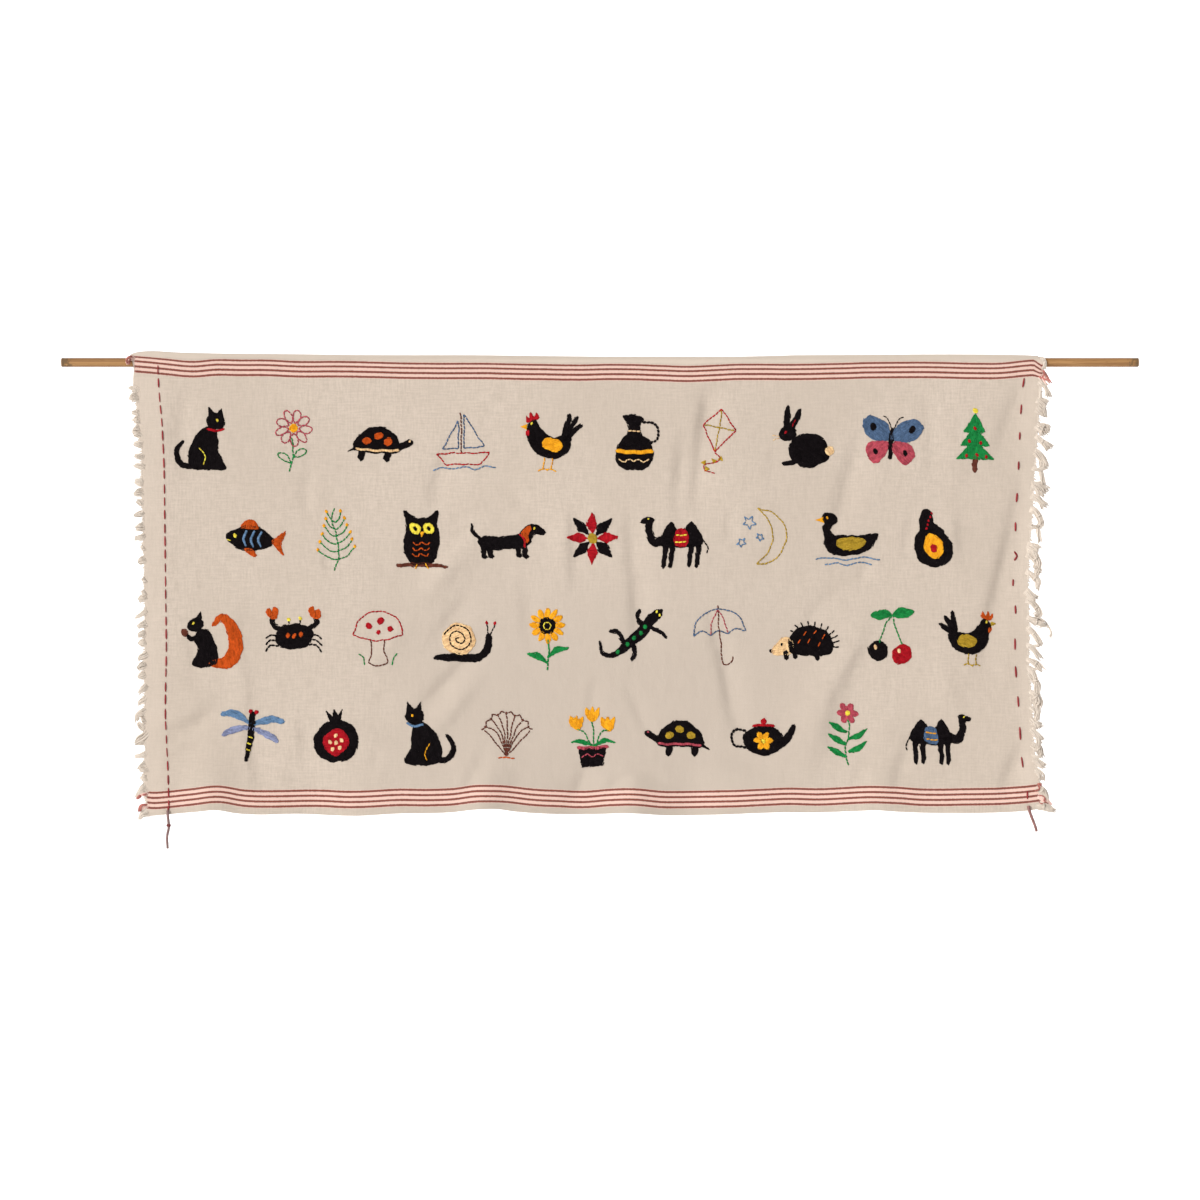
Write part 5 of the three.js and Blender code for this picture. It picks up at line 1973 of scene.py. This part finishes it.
def make_floor():
    """A pale floor well below the hanging, which bends up into a wall far behind it."""
    bm = bmesh.new()
    bmesh.ops.create_grid(bm, x_segments=1, y_segments=60, size=0.5)
    for vert in bm.verts:
        along = vert.co.y * SWEEP_SIZE
        bend = max(0.0, along - SWEEP_BEHIND)
        angle = min(bend / SWEEP_BEND, math.pi / 2)
        straight = max(0.0, bend - SWEEP_BEND * math.pi / 2)
        y = min(along, SWEEP_BEHIND) + SWEEP_BEND * math.sin(angle)
        z = SWEEP_BEND * (1 - math.cos(angle)) + straight
        vert.co = (vert.co.x * SWEEP_SIZE, y, z - FLOOR_BELOW)
    mesh = bpy.data.meshes.new("sweep")
    bm.to_mesh(mesh)
    bm.free()
    mesh.shade_smooth()
    f = Finish(bpy.data.materials.new("pale_sweep"))
    f.set(Base_Color=SWEEP_COLOUR, Roughness=0.9, Specular_IOR_Level=0.0)
    f.set(Emission_Color=SWEEP_COLOUR, Emission_Strength=SWEEP_GLOW)
    mesh.materials.append(f.owner)
    in_scene("sweep", mesh)


def make_studio():
    """A dim, even light from all round, in a room that looks white."""
    room = Finish(bpy.data.worlds.new("studio"), "Background")
    seen = room.node("ShaderNodeLightPath", output="Is Camera Ray")
    room.set(Color=(1, 1, 1, 1), Strength=seen.at_least(ROOM_LIGHT))
    return room.owner


class HANGING_OT_stage(bpy.types.Operator):
    """Camera, soft lights and a pale sweep"""

    bl_idname = "hanging.stage"
    bl_label = "Stage"

    def execute(self, context):
        make_camera()
        make_floor()
        make_light("key", "SUN", (-3.0, -2.8, 1.9), 3.3, angle=0.3)
        make_light("fill", "AREA", (2.8, -3.6, 0.4), 5, size=2.4)
        make_light("near", "AREA", (-1.5, -2.3, 1.7), 6, size=1.2)
        make_light("rear", "AREA", (0.5, 2.2, 2.4), 26, size=2.5)
        context.scene.world = make_studio()
        context.scene.view_settings.view_transform = "Standard"
        return {"FINISHED"}


class HANGING_OT_threads(bpy.types.Operator):
    """Loose thread ends and the running stitches"""

    bl_idname = "hanging.threads"
    bl_label = "Running threads"

    def execute(self, context):
        make_thread_ends()
        make_running_stitches()
        return {"FINISHED"}


class HANGING_OT_rod(bpy.types.Operator):
    """Wood finish of the rod"""

    bl_idname = "hanging.rod"
    bl_label = "Rod"

    def execute(self, context):
        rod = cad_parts["rod"]
        rod.data.materials.clear()
        rod.data.materials.append(wood_finish())
        return {"FINISHED"}


class HANGING_OT_cloth(bpy.types.Operator):
    """The woven cloth and its knotted warp ends"""

    bl_idname = "hanging.cloth"
    bl_label = "Cloth and fringe"

    def execute(self, context):
        sheet = make_cloth()
        sheet.data.materials.append(cloth_finish())
        finished(sheet)
        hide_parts("cloth")
        for yarn, colour, relief, spread in YARNS:
            thread_finish(yarn + "_yarn", linear(*colour), 0.9, 2.2, relief, spread)
        fringes = make_fringe(-1) + make_fringe(1)
        return {"FINISHED"}


class HANGING_OT_embroidery(bpy.types.Operator):
    """All the motifs, stitch by stitch"""

    bl_idname = "hanging.embroidery"
    bl_label = "Embroidery"

    def execute(self, context):
        work = Embroidery()
        for drawing, x, z, size, tilt, one, two in LAYOUT:
            drawing(Needle(work, x, z, size, tilt), one, two)
        for piece in work.pieces():
            finished(piece)
        return {"FINISHED"}


class HANGING_PT_panel(bpy.types.Panel):
    """Lists the hanging's pieces in the sidebar"""

    bl_idname = "HANGING_PT_panel"
    bl_label = "Wall hanging"
    bl_space_type = "VIEW_3D"
    bl_region_type = "UI"
    bl_category = "Hanging"

    def draw(self, context):
        for group in (context.scene.hanging_sizes, context.scene.hanging_colours):
            for name in group.__annotations__:
                self.layout.prop(group, name)
        for step in STEPS:
            self.layout.operator(step.bl_idname)


STEPS = (
    HANGING_OT_stage, HANGING_OT_threads, HANGING_OT_rod, HANGING_OT_cloth, HANGING_OT_embroidery,
)
CLASSES = (HangingSizes, HangingColours, *STEPS, HANGING_PT_panel)


def register():
    for cls in CLASSES:
        bpy.utils.register_class(cls)
    bpy.types.Scene.hanging_sizes = bpy.props.PointerProperty(type=HangingSizes)
    bpy.types.Scene.hanging_colours = bpy.props.PointerProperty(type=HangingColours)


def unregister():
    del bpy.types.Scene.hanging_colours
    del bpy.types.Scene.hanging_sizes
    for cls in reversed(CLASSES):
        bpy.utils.unregister_class(cls)


def main():
    register()
    for step in STEPS:
        group, name = step.bl_idname.split(".")
        getattr(getattr(bpy.ops, group), name)()


if __name__ == "__main__":
    main()
